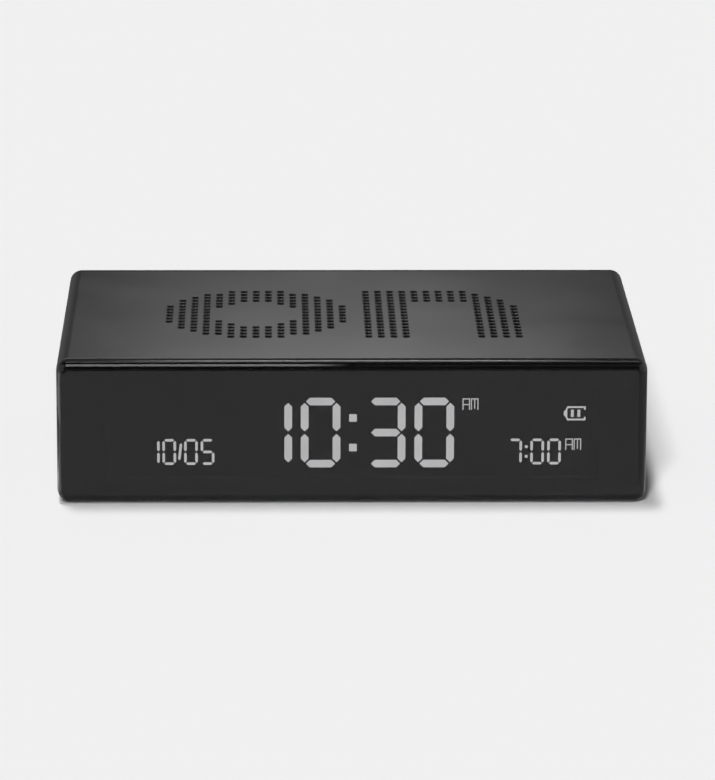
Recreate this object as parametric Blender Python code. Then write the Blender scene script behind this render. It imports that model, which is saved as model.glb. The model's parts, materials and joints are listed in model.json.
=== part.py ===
"""Reversible digital alarm clock: an aluminium sleeve closed by a smoked front lens and a rear cover.

Metres, +Z up, front face towards -Y, origin under the middle of the body.
"""

import math

import bmesh
import bpy
from mathutils import Matrix, Vector

# Overall body
BODY_WIDTH = 0.160
BODY_DEPTH = 0.107
BODY_HEIGHT = 0.040
CORNER_RADIUS = 0.0035

# Fits and how far joined or cut shapes run past one another
GAP = 0.0003
SEAM = 0.0004
JOIN = 0.0005
OVERRUN = 0.001

# Extruded sleeve and the rails that hold the chassis
SLEEVE_WALL = 0.0015
SLEEVE_CHAMFER = 0.0002
RAIL_REACH = 0.0020
RAIL_THICKNESS = 0.0015

# Front lens
LENS_THICKNESS = 0.0036
LENS_EDGE_RADIUS = 0.0024
RIM_WALL = 0.0010
RIM_DEPTH = 0.0016

# Display stack, front to rear
SEAL_THICKNESS = 0.0005
SEAL_WIDTH = 0.0025
FRAME_PLATE = 0.0020
WINDOW_MARGIN_X = 0.0130
WINDOW_MARGIN_Z = 0.0065
LCD_BORDER = 0.0020
POCKET_WALL = 0.0010
POCKET_RADIUS = 0.0006
GLASS_SHEET = 0.0011
CONTACT_LEDGE = 0.0032
DIFFUSER_SHEET = 0.0004
GUIDE_THICKNESS = 0.0030
REFLECTOR_SHEET = 0.0004
LED_STRIP_THICKNESS = 0.0008
LED_SIZE = 0.0016
LED_PITCH = 0.0060
BOARD_THICKNESS = 0.0016
BOSS_INSET_X = 0.0030
BOSS_CLEARANCE = 0.0005
BOSS_RADIUS = 0.0025

# Small screws
SCREW_RADIUS = 0.0010
SCREW_HEAD_RADIUS = 0.0019
SCREW_HEAD_HEIGHT = 0.0013
SCREW_SOCKET_RADIUS = 0.0007
SCREW_SOCKET_DEPTH = 0.0008
FRAME_SCREW_LENGTH = 0.0090
BOARD_SCREW_LENGTH = 0.0050

# Chassis
CONNECTOR_SPACE = 0.0026
CHASSIS_PLATE = 0.0020
CHASSIS_PLATE_LOW = 0.0060
CHASSIS_WALL = 0.0020
CHASSIS_WALL_MARGIN_Z = 0.0060
RIBBON_WINDOW_WIDTH = 0.0220
RIBBON_WINDOW_HEIGHT = 0.0100
GUSSET_PITCH = 0.0300
GUSSET_COUNT = 4
GUSSET_REACH = 0.0060
GUSSET_HEIGHT = 0.0160
GUSSET_THICKNESS = 0.0014
PILLAR_WIDTH = 0.0080
PILLAR_DEPTH = 0.0080
PILLAR_MARGIN_X = 0.0085
COVER_SCREW_MARGIN_Z = 0.0085
SLOT_WIDTH = 0.0030
SLOT_END_SPACE = 0.0150
SLOT_PITCH = 0.0070
SLOT_COUNT = 4

# Battery
SIDE_MARGIN = 0.0045
BATTERY_WIDTH = 0.0380
BATTERY_END_SPACE = 0.0072
BATTERY_HEIGHT = 0.0080
BATTERY_EDGE = 0.0014
BATTERY_PAD = 0.0010
BATTERY_PAD_INSET = 0.0040
CAGE_WALL = 0.0012
CAGE_HEIGHT = 0.0070
CAGE_RADIUS = 0.0018

# Main board
MAIN_BOARD_WIDTH = 0.0320
MAIN_BOARD_FRONT_SPACE = 0.0134
MAIN_BOARD_REAR_SPACE = 0.0080
STANDOFF_HEIGHT = 0.0060
STANDOFF_RADIUS = 0.0024
STANDOFF_INSET = 0.0030
PIN_RADIUS = 0.0011
PIN_HEIGHT = 0.0018
CONNECTOR_DEPTH = 0.0040
CONNECTOR_HEIGHT = 0.0026
RIBBON_WIDTH = 0.0120
RIBBON_THICKNESS = 0.0003
RIBBON_BORDER = 0.0010
RIBBON_SLACK = 0.0060
CHIP_SIZE = 0.0090
CHIP_PLACE_SHARES = (0.20, 0.10)
SMALL_CHIP_SIZE = 0.0063
SMALL_CHIP_PLACE_SHARES = (-0.22, -0.12)
CHIP_HEIGHT = 0.0012
CAPACITOR_RADIUS = 0.0025
CAPACITOR_HEIGHT = 0.0070
CAPACITOR_PLACE_SHARES = ((0.10, -0.18), (0.28, -0.18))
COIL_SIZE = 0.0060
COIL_HEIGHT = 0.0030
COIL_PLACE_SHARES = (-0.24, -0.30)

# Tilt sensor: a ball that drops to the other end of its can when the clock is turned over
TILT_PLACE_SHARES = (-0.25, 0.11)
TILT_CAN_RADIUS = 0.0031
TILT_CAN_WALL = 0.0006
TILT_CAN_HEIGHT = 0.0068
TILT_BALL_RADIUS = 0.0019

# Touch spring between the main board and the metal body
SPRING_INSET = 0.0046
SPRING_SHIFT_X = -0.0096
SPRING_RADIUS = 0.0020
SPRING_WIRE = 0.0005
SPRING_TURNS = 6
SPRING_FOOT_TURNS = 1

# Loudspeaker, cone facing up
SPEAKER_RADIUS = 0.0200
FLANGE_WIDTH = 0.0035
FLANGE_THICKNESS = 0.0012
BASKET_DEPTH = 0.0080
BASKET_WALL = 0.0010
BASKET_WINDOWS = 6
BASKET_WINDOW_WIDTH = 0.0070
MAGNET_RADIUS = 0.0125
MAGNET_HEIGHT = 0.0085
COIL_RADIUS = 0.0066
COIL_WALL = 0.0003
COIL_DIP = 0.0032
COIL_CLEARANCE = 0.0005
CONE_WALL = 0.0004
CONE_DEPTH = 0.0042
CAP_RISE = 0.0016
CONE_TRAVEL = 0.0006
SURROUND_WIDTH = 0.0026
SURROUND_WALL = 0.0004
LIP_WIDTH = 0.0024
GASKET_HEIGHT = 0.0024
CUP_WALL = 0.0020
EAR_RADIUS = 0.0028
EAR_REACH = 0.0020
VENT_RADIUS = 0.0050

# Acoustic mesh sheets behind the perforated faces
MESH_THICKNESS = 0.0004
MESH_MARGIN_X = 0.0270
MESH_MARGIN_Y = 0.0265

# Rear cover
FLANGE_DEPTH = 0.0016
REAR_EDGE_RADIUS = 0.0006
PANEL_RECESS = 0.0010
PANEL_MARGIN = 0.0050
PANEL_THICKNESS = 0.0020
PLUG_WALL = 0.0015
PLUG_DEPTH = 0.0060
COVER_TUBE_RADIUS = 0.0032
COVER_SCREW_RADIUS = 0.0013
COVER_HEAD_RADIUS = 0.0024
COVER_HEAD_DEPTH = 0.0014
COVER_SCREW_LENGTH = 0.0110

# Push buttons, tact switches and the board that carries them
BUTTON_NAMES = ("time_button", "alarm_button", "minus_button", "plus_button")
BUTTON_PITCH = 0.0135
BUTTON_INNER_X = 0.0165
BUTTON_RADIUS = 0.0040
BUTTON_EDGE = 0.0006
BUTTON_STAND = 0.0006
BUTTON_COLLAR = 0.0011
BUTTON_COLLAR_THICKNESS = 0.0009
BUTTON_STEM_RADIUS = 0.0016
BUTTON_DISH = 0.0004
BUTTON_TRAVEL = 0.0005
SWITCH_SIZE = 0.0060
SWITCH_HEIGHT = 0.0036
SWITCH_EDGE = 0.0004
PLUNGER_RADIUS = 0.0017
PLUNGER_STAND = 0.0009
PLUNGER_DIP = 0.0013
BUTTON_BOARD_MARGIN_X = 0.0110
BUTTON_BOARD_MARGIN_Z = 0.0020
BUTTON_BOARD_HOLE_INSET = 0.0030

# Charging socket
SOCKET_WIDTH = 0.0089
SOCKET_HEIGHT = 0.0032
SOCKET_WALL = 0.0003
SOCKET_FLOOR = 0.0010
TONGUE_WIDTH = 0.0062
TONGUE_THICKNESS = 0.0007
TONGUE_DEPTH = 0.0050

# Leads inside the case
LEAD_DIAMETER = 0.0016
LEAD_LEG = 0.0030

# Roundness
CORNER_STEPS = 5
EDGE_STEPS = 6
ROLL_STEPS = 4
COVER_EDGE_STEPS = 2
DISC_SIDES = 26
BUTTON_SIDES = 20
BUTTON_EDGE_STEPS = 2
SMALL_SIDES = 12
SCREW_SIDES = 8
SPRING_STEPS = 10
LEAD_STEPS = 5
SHARP_ANGLE = 35

# Places worked out from the sizes above
FRONT_Y = -BODY_DEPTH / 2
REAR_Y = BODY_DEPTH / 2
MID_Z = BODY_HEIGHT / 2
INNER_WIDTH = BODY_WIDTH - 2 * SLEEVE_WALL
INNER_HEIGHT = BODY_HEIGHT - 2 * SLEEVE_WALL
INNER_HALF = INNER_WIDTH / 2
INNER_RADIUS = CORNER_RADIUS - SLEEVE_WALL
INNER_LOW = SLEEVE_WALL
INNER_HIGH = BODY_HEIGHT - SLEEVE_WALL

LENS_BACK = FRONT_Y + LENS_THICKNESS
SLEEVE_FRONT = LENS_BACK + SEAM
SLEEVE_REAR = REAR_Y - FLANGE_DEPTH - GAP
FRAME_WIDTH = INNER_WIDTH - 2 * (RIM_WALL + 2 * GAP)
FRAME_HEIGHT = INNER_HEIGHT - 2 * (RIM_WALL + 2 * GAP)
FRAME_RADIUS = INNER_RADIUS - RIM_WALL / 2 - GAP
WINDOW_WIDTH = BODY_WIDTH - 2 * WINDOW_MARGIN_X
WINDOW_HEIGHT = BODY_HEIGHT - 2 * WINDOW_MARGIN_Z
LCD_WIDTH = WINDOW_WIDTH + 2 * LCD_BORDER
LCD_HEIGHT = WINDOW_HEIGHT + 2 * LCD_BORDER
FRAME_FRONT = LENS_BACK + GAP + SEAL_THICKNESS + GAP
FRAME_REAR = FRAME_FRONT + FRAME_PLATE
LCD_FRONT = FRAME_REAR + GAP
LCD_REAR = LCD_FRONT + 2 * GLASS_SHEET
DIFFUSER_FRONT = LCD_REAR + GAP
GUIDE_FRONT = DIFFUSER_FRONT + DIFFUSER_SHEET + GAP
REFLECTOR_FRONT = GUIDE_FRONT + GUIDE_THICKNESS + GAP
DISPLAY_BOARD_FRONT = REFLECTOR_FRONT + REFLECTOR_SHEET + GAP
DISPLAY_BOARD_REAR = DISPLAY_BOARD_FRONT + BOARD_THICKNESS
POCKET_END = DISPLAY_BOARD_FRONT - GAP
PLATE_TOP = CHASSIS_PLATE_LOW + CHASSIS_PLATE
BOSS_X = FRAME_WIDTH / 2 - BOSS_INSET_X
BOSS_SPREAD_Z = MID_Z - PLATE_TOP - BOSS_RADIUS - BOSS_CLEARANCE
BOSS_PLACES = [(x, MID_Z + z) for x in (-BOSS_X, BOSS_X) for z in (-BOSS_SPREAD_Z, BOSS_SPREAD_Z)]

CHASSIS_FRONT = DISPLAY_BOARD_REAR + CONNECTOR_SPACE
CHASSIS_INSIDE = CHASSIS_FRONT + CHASSIS_WALL
WALL_TOP = BODY_HEIGHT - CHASSIS_WALL_MARGIN_Z
WALL_HALF = INNER_HALF - RAIL_REACH - 2 * GAP
PANEL_OUTSIDE = REAR_Y - PANEL_RECESS
PANEL_INSIDE = PANEL_OUTSIDE - PANEL_THICKNESS
PLUG_FRONT = REAR_Y - FLANGE_DEPTH - PLUG_DEPTH
PILLAR_REAR = PLUG_FRONT - GAP
PILLAR_FRONT = PILLAR_REAR - PILLAR_DEPTH
PILLAR_X = INNER_HALF - PILLAR_MARGIN_X
COVER_SCREW_SPREAD_Z = MID_Z - INNER_LOW - COVER_SCREW_MARGIN_Z
COVER_SCREW_PLACES = [
    (x, MID_Z + z)
    for x in (-PILLAR_X, PILLAR_X)
    for z in (-COVER_SCREW_SPREAD_Z, COVER_SCREW_SPREAD_Z)
]

COLLAR_REAR = PANEL_INSIDE - GAP
STEM_FRONT = COLLAR_REAR - BUTTON_COLLAR_THICKNESS - GAP
PLUNGER_REAR = STEM_FRONT - GAP
SWITCH_REAR = PLUNGER_REAR - PLUNGER_STAND
BUTTON_BOARD_REAR = SWITCH_REAR - SWITCH_HEIGHT - GAP
BUTTON_BOARD_FRONT = BUTTON_BOARD_REAR - BOARD_THICKNESS
BUTTON_PLACES = [
    side * (BUTTON_INNER_X + step * BUTTON_PITCH) for side, step in ((-1, 1), (-1, 0), (1, 0), (1, 1))
]
BUTTON_BOARD_HALF = BUTTON_INNER_X + BUTTON_PITCH + BUTTON_BOARD_MARGIN_X
BUTTON_BOARD_HOLE_X = BUTTON_BOARD_HALF - BUTTON_BOARD_HOLE_INSET
BUTTON_BOARD_HEIGHT = 2 * (MID_Z - PLATE_TOP - BUTTON_BOARD_MARGIN_Z)

CHASSIS_MIDDLE = (CHASSIS_INSIDE + PILLAR_FRONT) / 2
BATTERY_X = -(INNER_HALF - SIDE_MARGIN - BATTERY_WIDTH / 2)
BATTERY_LENGTH = PILLAR_FRONT - CHASSIS_INSIDE - 2 * BATTERY_END_SPACE
BATTERY_LOW = PLATE_TOP + GAP + BATTERY_PAD + GAP
BATTERY_TOP = BATTERY_LOW + BATTERY_HEIGHT
MAIN_BOARD_REAR = BUTTON_BOARD_FRONT - MAIN_BOARD_REAR_SPACE
MAIN_BOARD_FRONT = CHASSIS_INSIDE + MAIN_BOARD_FRONT_SPACE
MAIN_BOARD_LENGTH = MAIN_BOARD_REAR - MAIN_BOARD_FRONT
MAIN_BOARD_MIDDLE = (MAIN_BOARD_FRONT + MAIN_BOARD_REAR) / 2
MAIN_BOARD_LOW = PLATE_TOP + STANDOFF_HEIGHT + GAP
MAIN_BOARD_TOP = MAIN_BOARD_LOW + BOARD_THICKNESS
STANDOFF_X = MAIN_BOARD_WIDTH / 2 - STANDOFF_INSET
STANDOFF_Y = MAIN_BOARD_LENGTH / 2 - STANDOFF_INSET
SLOT_LENGTH = MAIN_BOARD_LENGTH - 2 * SLOT_END_SPACE
RIBBON_Z = MAIN_BOARD_TOP + CONNECTOR_HEIGHT / 2

MESH_TOP_LOW = INNER_HIGH - GAP - MESH_THICKNESS
SPEAKER_X = INNER_HALF - SIDE_MARGIN - SPEAKER_RADIUS
SPEAKER_Y = CHASSIS_MIDDLE
GASKET_LOW = MESH_TOP_LOW - GAP - GASKET_HEIGHT
LIP_LOW = GASKET_LOW - GAP - SURROUND_WALL
FLANGE_TOP = LIP_LOW - GAP
FLANGE_LOW = FLANGE_TOP - FLANGE_THICKNESS
CUP_TOP = FLANGE_LOW - GAP
MAGNET_TOP = FLANGE_LOW - BASKET_DEPTH
EAR_Y = SPEAKER_RADIUS + EAR_REACH
LIP_INNER = SPEAKER_RADIUS - LIP_WIDTH
CONE_RADIUS = LIP_INNER - SURROUND_WIDTH - GAP


def clear_scene():
    for item in list(bpy.data.objects):
        bpy.data.objects.remove(item, do_unlink=True)


def make_material(name, colour, metallic, roughness):
    material = bpy.data.materials.new(name)
    material.use_nodes = True
    material.diffuse_color = (*colour, 1)
    shader = material.node_tree.nodes["Principled BSDF"]
    shader.inputs["Base Color"].default_value = (*colour, 1)
    shader.inputs["Metallic"].default_value = metallic
    shader.inputs["Roughness"].default_value = roughness
    return material


def add_object(name, bm, material, location=(0, 0, 0), rotation=(0, 0, 0), parent=None):
    """The finished mesh as an object, with its faces out and its round faces smooth."""
    bmesh.ops.recalc_face_normals(bm, faces=bm.faces)
    mesh = bpy.data.meshes.new(name)
    bm.to_mesh(mesh)
    bm.free()
    smooth(mesh)
    made = bpy.data.objects.new(name, mesh)
    made.location = location
    made.rotation_euler = rotation
    made.parent = parent
    mesh.materials.append(material)
    bpy.context.scene.collection.objects.link(made)
    return made


def add_empty(name, location, rotation=(0, 0, 0)):
    made = bpy.data.objects.new(name, None)
    made.location = location
    made.rotation_euler = rotation
    made.empty_display_size = BUTTON_RADIUS
    bpy.context.scene.collection.objects.link(made)
    return made


def helper(made):
    made.hide_render = True
    made.display_type = "WIRE"
    return made


def combine(target, operation, bm, label):
    """Joins the shape in bm to the target, or cuts it out."""
    operand = helper(add_object(f"{target.name}_{label}", bm, target.data.materials[0]))
    modifier = target.modifiers.new(label, "BOOLEAN")
    modifier.operation = operation
    modifier.solver = "EXACT"
    modifier.object = operand


def join(target, bm, label):
    combine(target, "UNION", bm, label)


def cut(target, bm, label):
    combine(target, "DIFFERENCE", bm, label)


def settle():
    """Applies the modifiers, marks the new edges sharp and removes the cutters and joined shapes."""
    graph = bpy.context.evaluated_depsgraph_get()
    finished = [made for made in bpy.data.objects if made.modifiers]
    meshes = [bpy.data.meshes.new_from_object(made.evaluated_get(graph)) for made in finished]
    for made, mesh in zip(finished, meshes):
        made.modifiers.clear()
        made.data = mesh
        smooth(mesh)
    for operand in [made for made in bpy.data.objects if made.hide_render]:
        bpy.data.objects.remove(operand, do_unlink=True)


def smooth(mesh):
    mesh.shade_smooth()
    mesh.set_sharp_from_angle(angle=math.radians(SHARP_ANGLE))


def round_edges(made, width, segments):
    modifier = made.modifiers.new("edges", "BEVEL")
    modifier.width = width
    modifier.segments = segments
    modifier.limit_method = "ANGLE"


def outline(width, height, radius, y, centre_x=0, centre_z=MID_Z):
    """A rounded rectangle in the plane at y, as points."""
    points = []
    for corner, (side_x, side_z) in enumerate(((1, 1), (-1, 1), (-1, -1), (1, -1))):
        for step in range(CORNER_STEPS + 1):
            angle = math.pi / 2 * (corner + step / CORNER_STEPS)
            x = centre_x + side_x * (width / 2 - radius) + radius * math.cos(angle)
            z = centre_z + side_z * (height / 2 - radius) + radius * math.sin(angle)
            points.append(Vector((x, y, z)))
    return points


def skin(loops, ring=False, bm=None):
    """Faces between loops of equal length. A ring joins the last loop to the first, else both are capped."""
    bm = bm or bmesh.new()
    rows = [[bm.verts.new(point) for point in loop] for loop in loops]
    following = rows[1:] + rows[:1] if ring else rows[1:]
    for row, after in zip(rows, following):
        for index in range(len(row)):
            ahead = (index + 1) % len(row)
            bm.faces.new((row[index], row[ahead], after[ahead], after[index]))
    if not ring:
        bm.faces.new(rows[0])
        bm.faces.new(rows[-1])
    return bm


def box(low, high, bm=None):
    """A block between two corners."""
    bm = bm or bmesh.new()
    low = Vector(low)
    high = Vector(high)
    place = Matrix.Translation((low + high) / 2) @ Matrix.Diagonal((*(high - low), 1))
    bmesh.ops.create_cube(bm, size=1, matrix=place)
    return bm


def disc(radius, low, high, centre=(0, 0), bm=None, sides=SMALL_SIDES, far_radius=None):
    """A cylinder or cone along Z, from low to high."""
    bm = bm or bmesh.new()
    place = Matrix.Translation((centre[0], centre[1], (low + high) / 2))
    far_radius = radius if far_radius is None else far_radius
    bmesh.ops.create_cone(
        bm,
        cap_ends=True,
        segments=sides,
        radius1=radius,
        radius2=far_radius,
        depth=high - low,
        matrix=place,
    )
    return bm


def rod(radius, front, rear, place, bm=None, sides=SMALL_SIDES, rear_radius=None):
    """A cylinder or cone along Y, from front to rear, at an (x, z) place."""
    bm = bm or bmesh.new()
    middle = Matrix.Translation((place[0], (front + rear) / 2, place[1]))
    turn = Matrix.Rotation(-math.pi / 2, 4, "X")
    rear_radius = radius if rear_radius is None else rear_radius
    bmesh.ops.create_cone(
        bm,
        cap_ends=True,
        segments=sides,
        radius1=radius,
        radius2=rear_radius,
        depth=rear - front,
        matrix=middle @ turn,
    )
    return bm


def turned(profile, sides=DISC_SIDES, closed=False, bm=None):
    """A profile of (radius, height) points spun about Z."""
    bm = bm or bmesh.new()
    points = [bm.verts.new((radius, 0, height)) for radius, height in profile]
    ahead = points[1:] + points[:1] if closed else points[1:]
    edges = [bm.edges.new(pair) for pair in zip(points, ahead)]
    bmesh.ops.spin(
        bm,
        geom=points + edges,
        cent=(0, 0, 0),
        axis=(0, 0, 1),
        angle=2 * math.pi,
        steps=sides,
        use_merge=True,
    )
    bmesh.ops.remove_doubles(bm, verts=bm.verts, dist=GAP / 100)
    return bm


def arc(centre_radius, centre_height, radius, start, end, steps=ROLL_STEPS):
    """Profile points on an arc, in degrees from the outward direction."""
    points = []
    for step in range(steps + 1):
        angle = math.radians(start + (end - start) * step / steps)
        points.append((centre_radius + radius * math.cos(angle), centre_height + radius * math.sin(angle)))
    return points


def make_sleeve(material):
    """The extruded tube, with two pairs of rails machined back from its ends."""

    def tube_loop(y, inset):
        return outline(BODY_WIDTH - 2 * inset, BODY_HEIGHT - 2 * inset, CORNER_RADIUS - inset, y)

    loops = [
        tube_loop(SLEEVE_FRONT, SLEEVE_CHAMFER),
        tube_loop(SLEEVE_FRONT + SLEEVE_CHAMFER, 0),
        tube_loop(SLEEVE_REAR - SLEEVE_CHAMFER, 0),
        tube_loop(SLEEVE_REAR, SLEEVE_CHAMFER),
        tube_loop(SLEEVE_REAR, SLEEVE_WALL),
        tube_loop(SLEEVE_FRONT, SLEEVE_WALL),
    ]
    sleeve = add_object("sleeve", skin(loops, ring=True), material)
    rails = bmesh.new()
    for side in (-1, 1):
        inner = side * (INNER_HALF - RAIL_REACH)
        outer = side * (INNER_HALF + JOIN)
        for low in (CHASSIS_PLATE_LOW - GAP - RAIL_THICKNESS, PLATE_TOP + GAP):
            box(
                (min(inner, outer), CHASSIS_FRONT, low),
                (max(inner, outer), PLUG_FRONT - GAP, low + RAIL_THICKNESS),
                rails,
            )
    join(sleeve, rails, "rails")
    return sleeve


def make_lens(material):
    """Smoked front panel: rolled front edge and a rim that locates inside the sleeve."""

    def lens_loop(y, inset):
        return outline(BODY_WIDTH - 2 * inset, BODY_HEIGHT - 2 * inset, CORNER_RADIUS - inset, y)

    loops = []
    for step in range(EDGE_STEPS + 1):
        angle = math.pi / 2 * (1 - step / EDGE_STEPS)
        inset = LENS_EDGE_RADIUS * (1 - math.cos(angle))
        loops.append(lens_loop(FRONT_Y + LENS_EDGE_RADIUS * (1 - math.sin(angle)), inset))
    rim_end = LENS_BACK + RIM_DEPTH
    rim_outer = SLEEVE_WALL + GAP
    rim_inner = rim_outer + RIM_WALL
    loops.append(lens_loop(LENS_BACK, 0))
    loops.append(lens_loop(LENS_BACK, rim_outer))
    loops.append(lens_loop(rim_end, rim_outer))
    loops.append(lens_loop(rim_end, rim_inner))
    loops.append(lens_loop(LENS_BACK, rim_inner))
    return add_object("front_lens", skin(loops), material)


def make_frame(foam, plastic):
    """Foam seal and moulded display frame: window, pocket for the display and screw bosses."""

    def frame_loop(y, inset):
        width = FRAME_WIDTH - 2 * inset
        height = FRAME_HEIGHT - 2 * inset
        return outline(width, height, FRAME_RADIUS, y)

    seal_front = LENS_BACK + GAP
    seal_rear = seal_front + SEAL_THICKNESS
    seal = skin(
        [
            frame_loop(seal_front, 0),
            frame_loop(seal_rear, 0),
            frame_loop(seal_rear, SEAL_WIDTH),
            frame_loop(seal_front, SEAL_WIDTH),
        ],
        ring=True,
    )
    add_object("lens_seal", seal, foam)

    window_front = outline(WINDOW_WIDTH + FRAME_PLATE, WINDOW_HEIGHT + FRAME_PLATE, POCKET_RADIUS, FRAME_FRONT)
    window_rear = outline(WINDOW_WIDTH, WINDOW_HEIGHT, POCKET_RADIUS, FRAME_REAR)
    loops = [frame_loop(FRAME_FRONT, 0), frame_loop(FRAME_REAR, 0), window_rear, window_front]
    frame = add_object("front_frame", skin(loops, ring=True), plastic)

    def pocket_loop(y, wall):
        width = LCD_WIDTH + 2 * (GAP + wall)
        height = LCD_HEIGHT + 2 * (GAP + wall)
        return outline(width, height, POCKET_RADIUS + wall, y)

    pocket = skin(
        [
            pocket_loop(FRAME_REAR - JOIN, POCKET_WALL),
            pocket_loop(POCKET_END, POCKET_WALL),
            pocket_loop(POCKET_END, 0),
            pocket_loop(FRAME_REAR - JOIN, 0),
        ],
        ring=True,
    )
    join(frame, pocket, "pocket")
    bosses = bmesh.new()
    holes = bmesh.new()
    for place in BOSS_PLACES:
        rod(BOSS_RADIUS, FRAME_REAR - JOIN, POCKET_END, place, bosses)
        rod(SCREW_RADIUS + GAP, FRAME_REAR - JOIN, POCKET_END + OVERRUN, place, holes)
    join(frame, bosses, "bosses")
    cut(frame, holes, "holes")


def make_display(glass, film, guide_material, contact, board_material, white):
    """The display from its glass back to its board."""
    half_width = LCD_WIDTH / 2
    half_height = LCD_HEIGHT / 2
    low = MID_Z - half_height
    high = MID_Z + half_height
    lcd = add_object(
        "lcd_panel",
        box((-half_width, LCD_FRONT, low), (half_width, LCD_FRONT + GLASS_SHEET, high)),
        glass,
    )
    rear_glass = box(
        (-half_width, LCD_FRONT + GLASS_SHEET - JOIN, low),
        (half_width, LCD_REAR, high - CONTACT_LEDGE),
    )
    join(lcd, rear_glass, "rear_glass")

    ledge = high - CONTACT_LEDGE
    strip_front = LCD_FRONT + GLASS_SHEET + GAP
    strip = box(
        (-WINDOW_WIDTH / 2, strip_front, ledge + GAP),
        (WINDOW_WIDTH / 2, DISPLAY_BOARD_FRONT - GAP, high - GAP),
    )
    add_object("elastomer_strip", strip, contact)

    sheet_high = ledge - GAP
    led_space = LED_STRIP_THICKNESS + LED_SIZE + 2 * GAP
    guide_right = half_width - led_space
    for name, front, thickness, right, material in (
        ("diffuser_sheet", DIFFUSER_FRONT, DIFFUSER_SHEET, half_width, film),
        ("light_guide", GUIDE_FRONT, GUIDE_THICKNESS, guide_right, guide_material),
        ("reflector_sheet", REFLECTOR_FRONT, REFLECTOR_SHEET, half_width, white),
    ):
        sheet = box((-half_width, front, low), (right, front + thickness, sheet_high))
        add_object(name, sheet, material)

    strip_left = guide_right + GAP + LED_SIZE
    bar = box(
        (strip_left, GUIDE_FRONT, low),
        (strip_left + LED_STRIP_THICKNESS, GUIDE_FRONT + GUIDE_THICKNESS, sheet_high),
    )
    led_bar = add_object("led_bar", bar, white)
    guide_height = sheet_high - low
    led_count = int((guide_height - LED_SIZE) / LED_PITCH)
    first = (sheet_high + low) / 2 - LED_PITCH * (led_count - 1) / 2
    middle = GUIDE_FRONT + GUIDE_THICKNESS / 2
    lamps = bmesh.new()
    for index in range(led_count):
        z = first + index * LED_PITCH
        box(
            (strip_left - LED_SIZE, middle - LED_SIZE / 2, z - LED_SIZE / 2),
            (strip_left + LED_STRIP_THICKNESS / 2, middle + LED_SIZE / 2, z + LED_SIZE / 2),
            lamps,
        )
    join(led_bar, lamps, "lamps")

    board_loops = [
        outline(FRAME_WIDTH, FRAME_HEIGHT, FRAME_RADIUS, y) for y in (DISPLAY_BOARD_FRONT, DISPLAY_BOARD_REAR)
    ]
    board = add_object("display_board", skin(board_loops), board_material)
    parts = bmesh.new()
    chip_x = RIBBON_WINDOW_WIDTH + CHIP_SIZE
    for x in (-chip_x, chip_x):
        box(
            (x - CHIP_SIZE / 2, DISPLAY_BOARD_REAR - JOIN, MID_Z - CHIP_SIZE / 2),
            (x + CHIP_SIZE / 2, DISPLAY_BOARD_REAR + CHIP_HEIGHT, MID_Z + CHIP_SIZE / 2),
            parts,
        )
    connector_half = RIBBON_WIDTH / 2 + RIBBON_BORDER
    box(
        (-connector_half, DISPLAY_BOARD_REAR - JOIN, MID_Z - CONNECTOR_DEPTH / 2),
        (connector_half, DISPLAY_BOARD_REAR + CONNECTOR_SPACE - 2 * GAP, MID_Z + CONNECTOR_DEPTH / 2),
        parts,
    )
    join(board, parts, "parts")
    holes = bmesh.new()
    for place in BOSS_PLACES:
        rod(SCREW_RADIUS + GAP, DISPLAY_BOARD_FRONT - OVERRUN, DISPLAY_BOARD_REAR + OVERRUN, place, holes)
    cut(board, holes, "holes")


def screw_mesh(length):
    """A pan-head screw along Z, its head underside at 0 and its tip down, with a socket."""
    socket_floor = SCREW_HEAD_HEIGHT - SCREW_SOCKET_DEPTH
    profile = [
        (0, -length),
        (SCREW_RADIUS, -length + SCREW_RADIUS),
        (SCREW_RADIUS, 0),
        (SCREW_HEAD_RADIUS, 0),
        (SCREW_HEAD_RADIUS, SCREW_HEAD_HEIGHT * 2 / 3),
        (SCREW_SOCKET_RADIUS, SCREW_HEAD_HEIGHT),
        (SCREW_SOCKET_RADIUS, socket_floor),
        (0, socket_floor),
    ]
    return turned(profile, sides=SCREW_SIDES)


def make_frame_screws(steel):
    """Screws that draw the chassis, the display board and the front frame together."""
    for index, (x, z) in enumerate(BOSS_PLACES):
        add_object(
            f"frame_screw_{index + 1}",
            screw_mesh(FRAME_SCREW_LENGTH),
            steel,
            location=(x, CHASSIS_INSIDE + GAP, z),
            rotation=(-math.pi / 2, 0, 0),
        )


def make_chassis(material):
    """The moulded tray that slides in the rails and carries everything inside."""
    plate = box(
        (-(INNER_HALF - GAP), CHASSIS_FRONT, CHASSIS_PLATE_LOW),
        (INNER_HALF - GAP, PILLAR_REAR - GAP, PLATE_TOP),
    )
    chassis = add_object("chassis", plate, material)

    wall = box((-WALL_HALF, CHASSIS_FRONT, CHASSIS_PLATE_LOW), (WALL_HALF, CHASSIS_INSIDE, WALL_TOP))
    join(chassis, wall, "front_wall")
    spacers = bmesh.new()
    for place in BOSS_PLACES:
        rod(BOSS_RADIUS, DISPLAY_BOARD_REAR + GAP, CHASSIS_FRONT + JOIN, place, spacers)
    join(chassis, spacers, "spacers")
    join(chassis, gussets(), "gussets")
    join(chassis, battery_cage(), "battery_cage")
    join(chassis, standoffs(), "standoffs")
    join(chassis, locating_pins(), "locating_pins")
    join(chassis, speaker_cup(), "speaker_cup")
    join(chassis, speaker_ears(), "speaker_ears")
    join(chassis, pillars(), "pillars")
    cut(chassis, chassis_screw_holes(), "screw_holes")
    window = box(
        (-RIBBON_WINDOW_WIDTH / 2, CHASSIS_FRONT - OVERRUN, MID_Z - RIBBON_WINDOW_HEIGHT / 2),
        (RIBBON_WINDOW_WIDTH / 2, CHASSIS_INSIDE + OVERRUN, MID_Z + RIBBON_WINDOW_HEIGHT / 2),
    )
    cut(chassis, window, "ribbon_window")
    cut(chassis, plate_openings(), "plate_openings")
    return chassis


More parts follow.
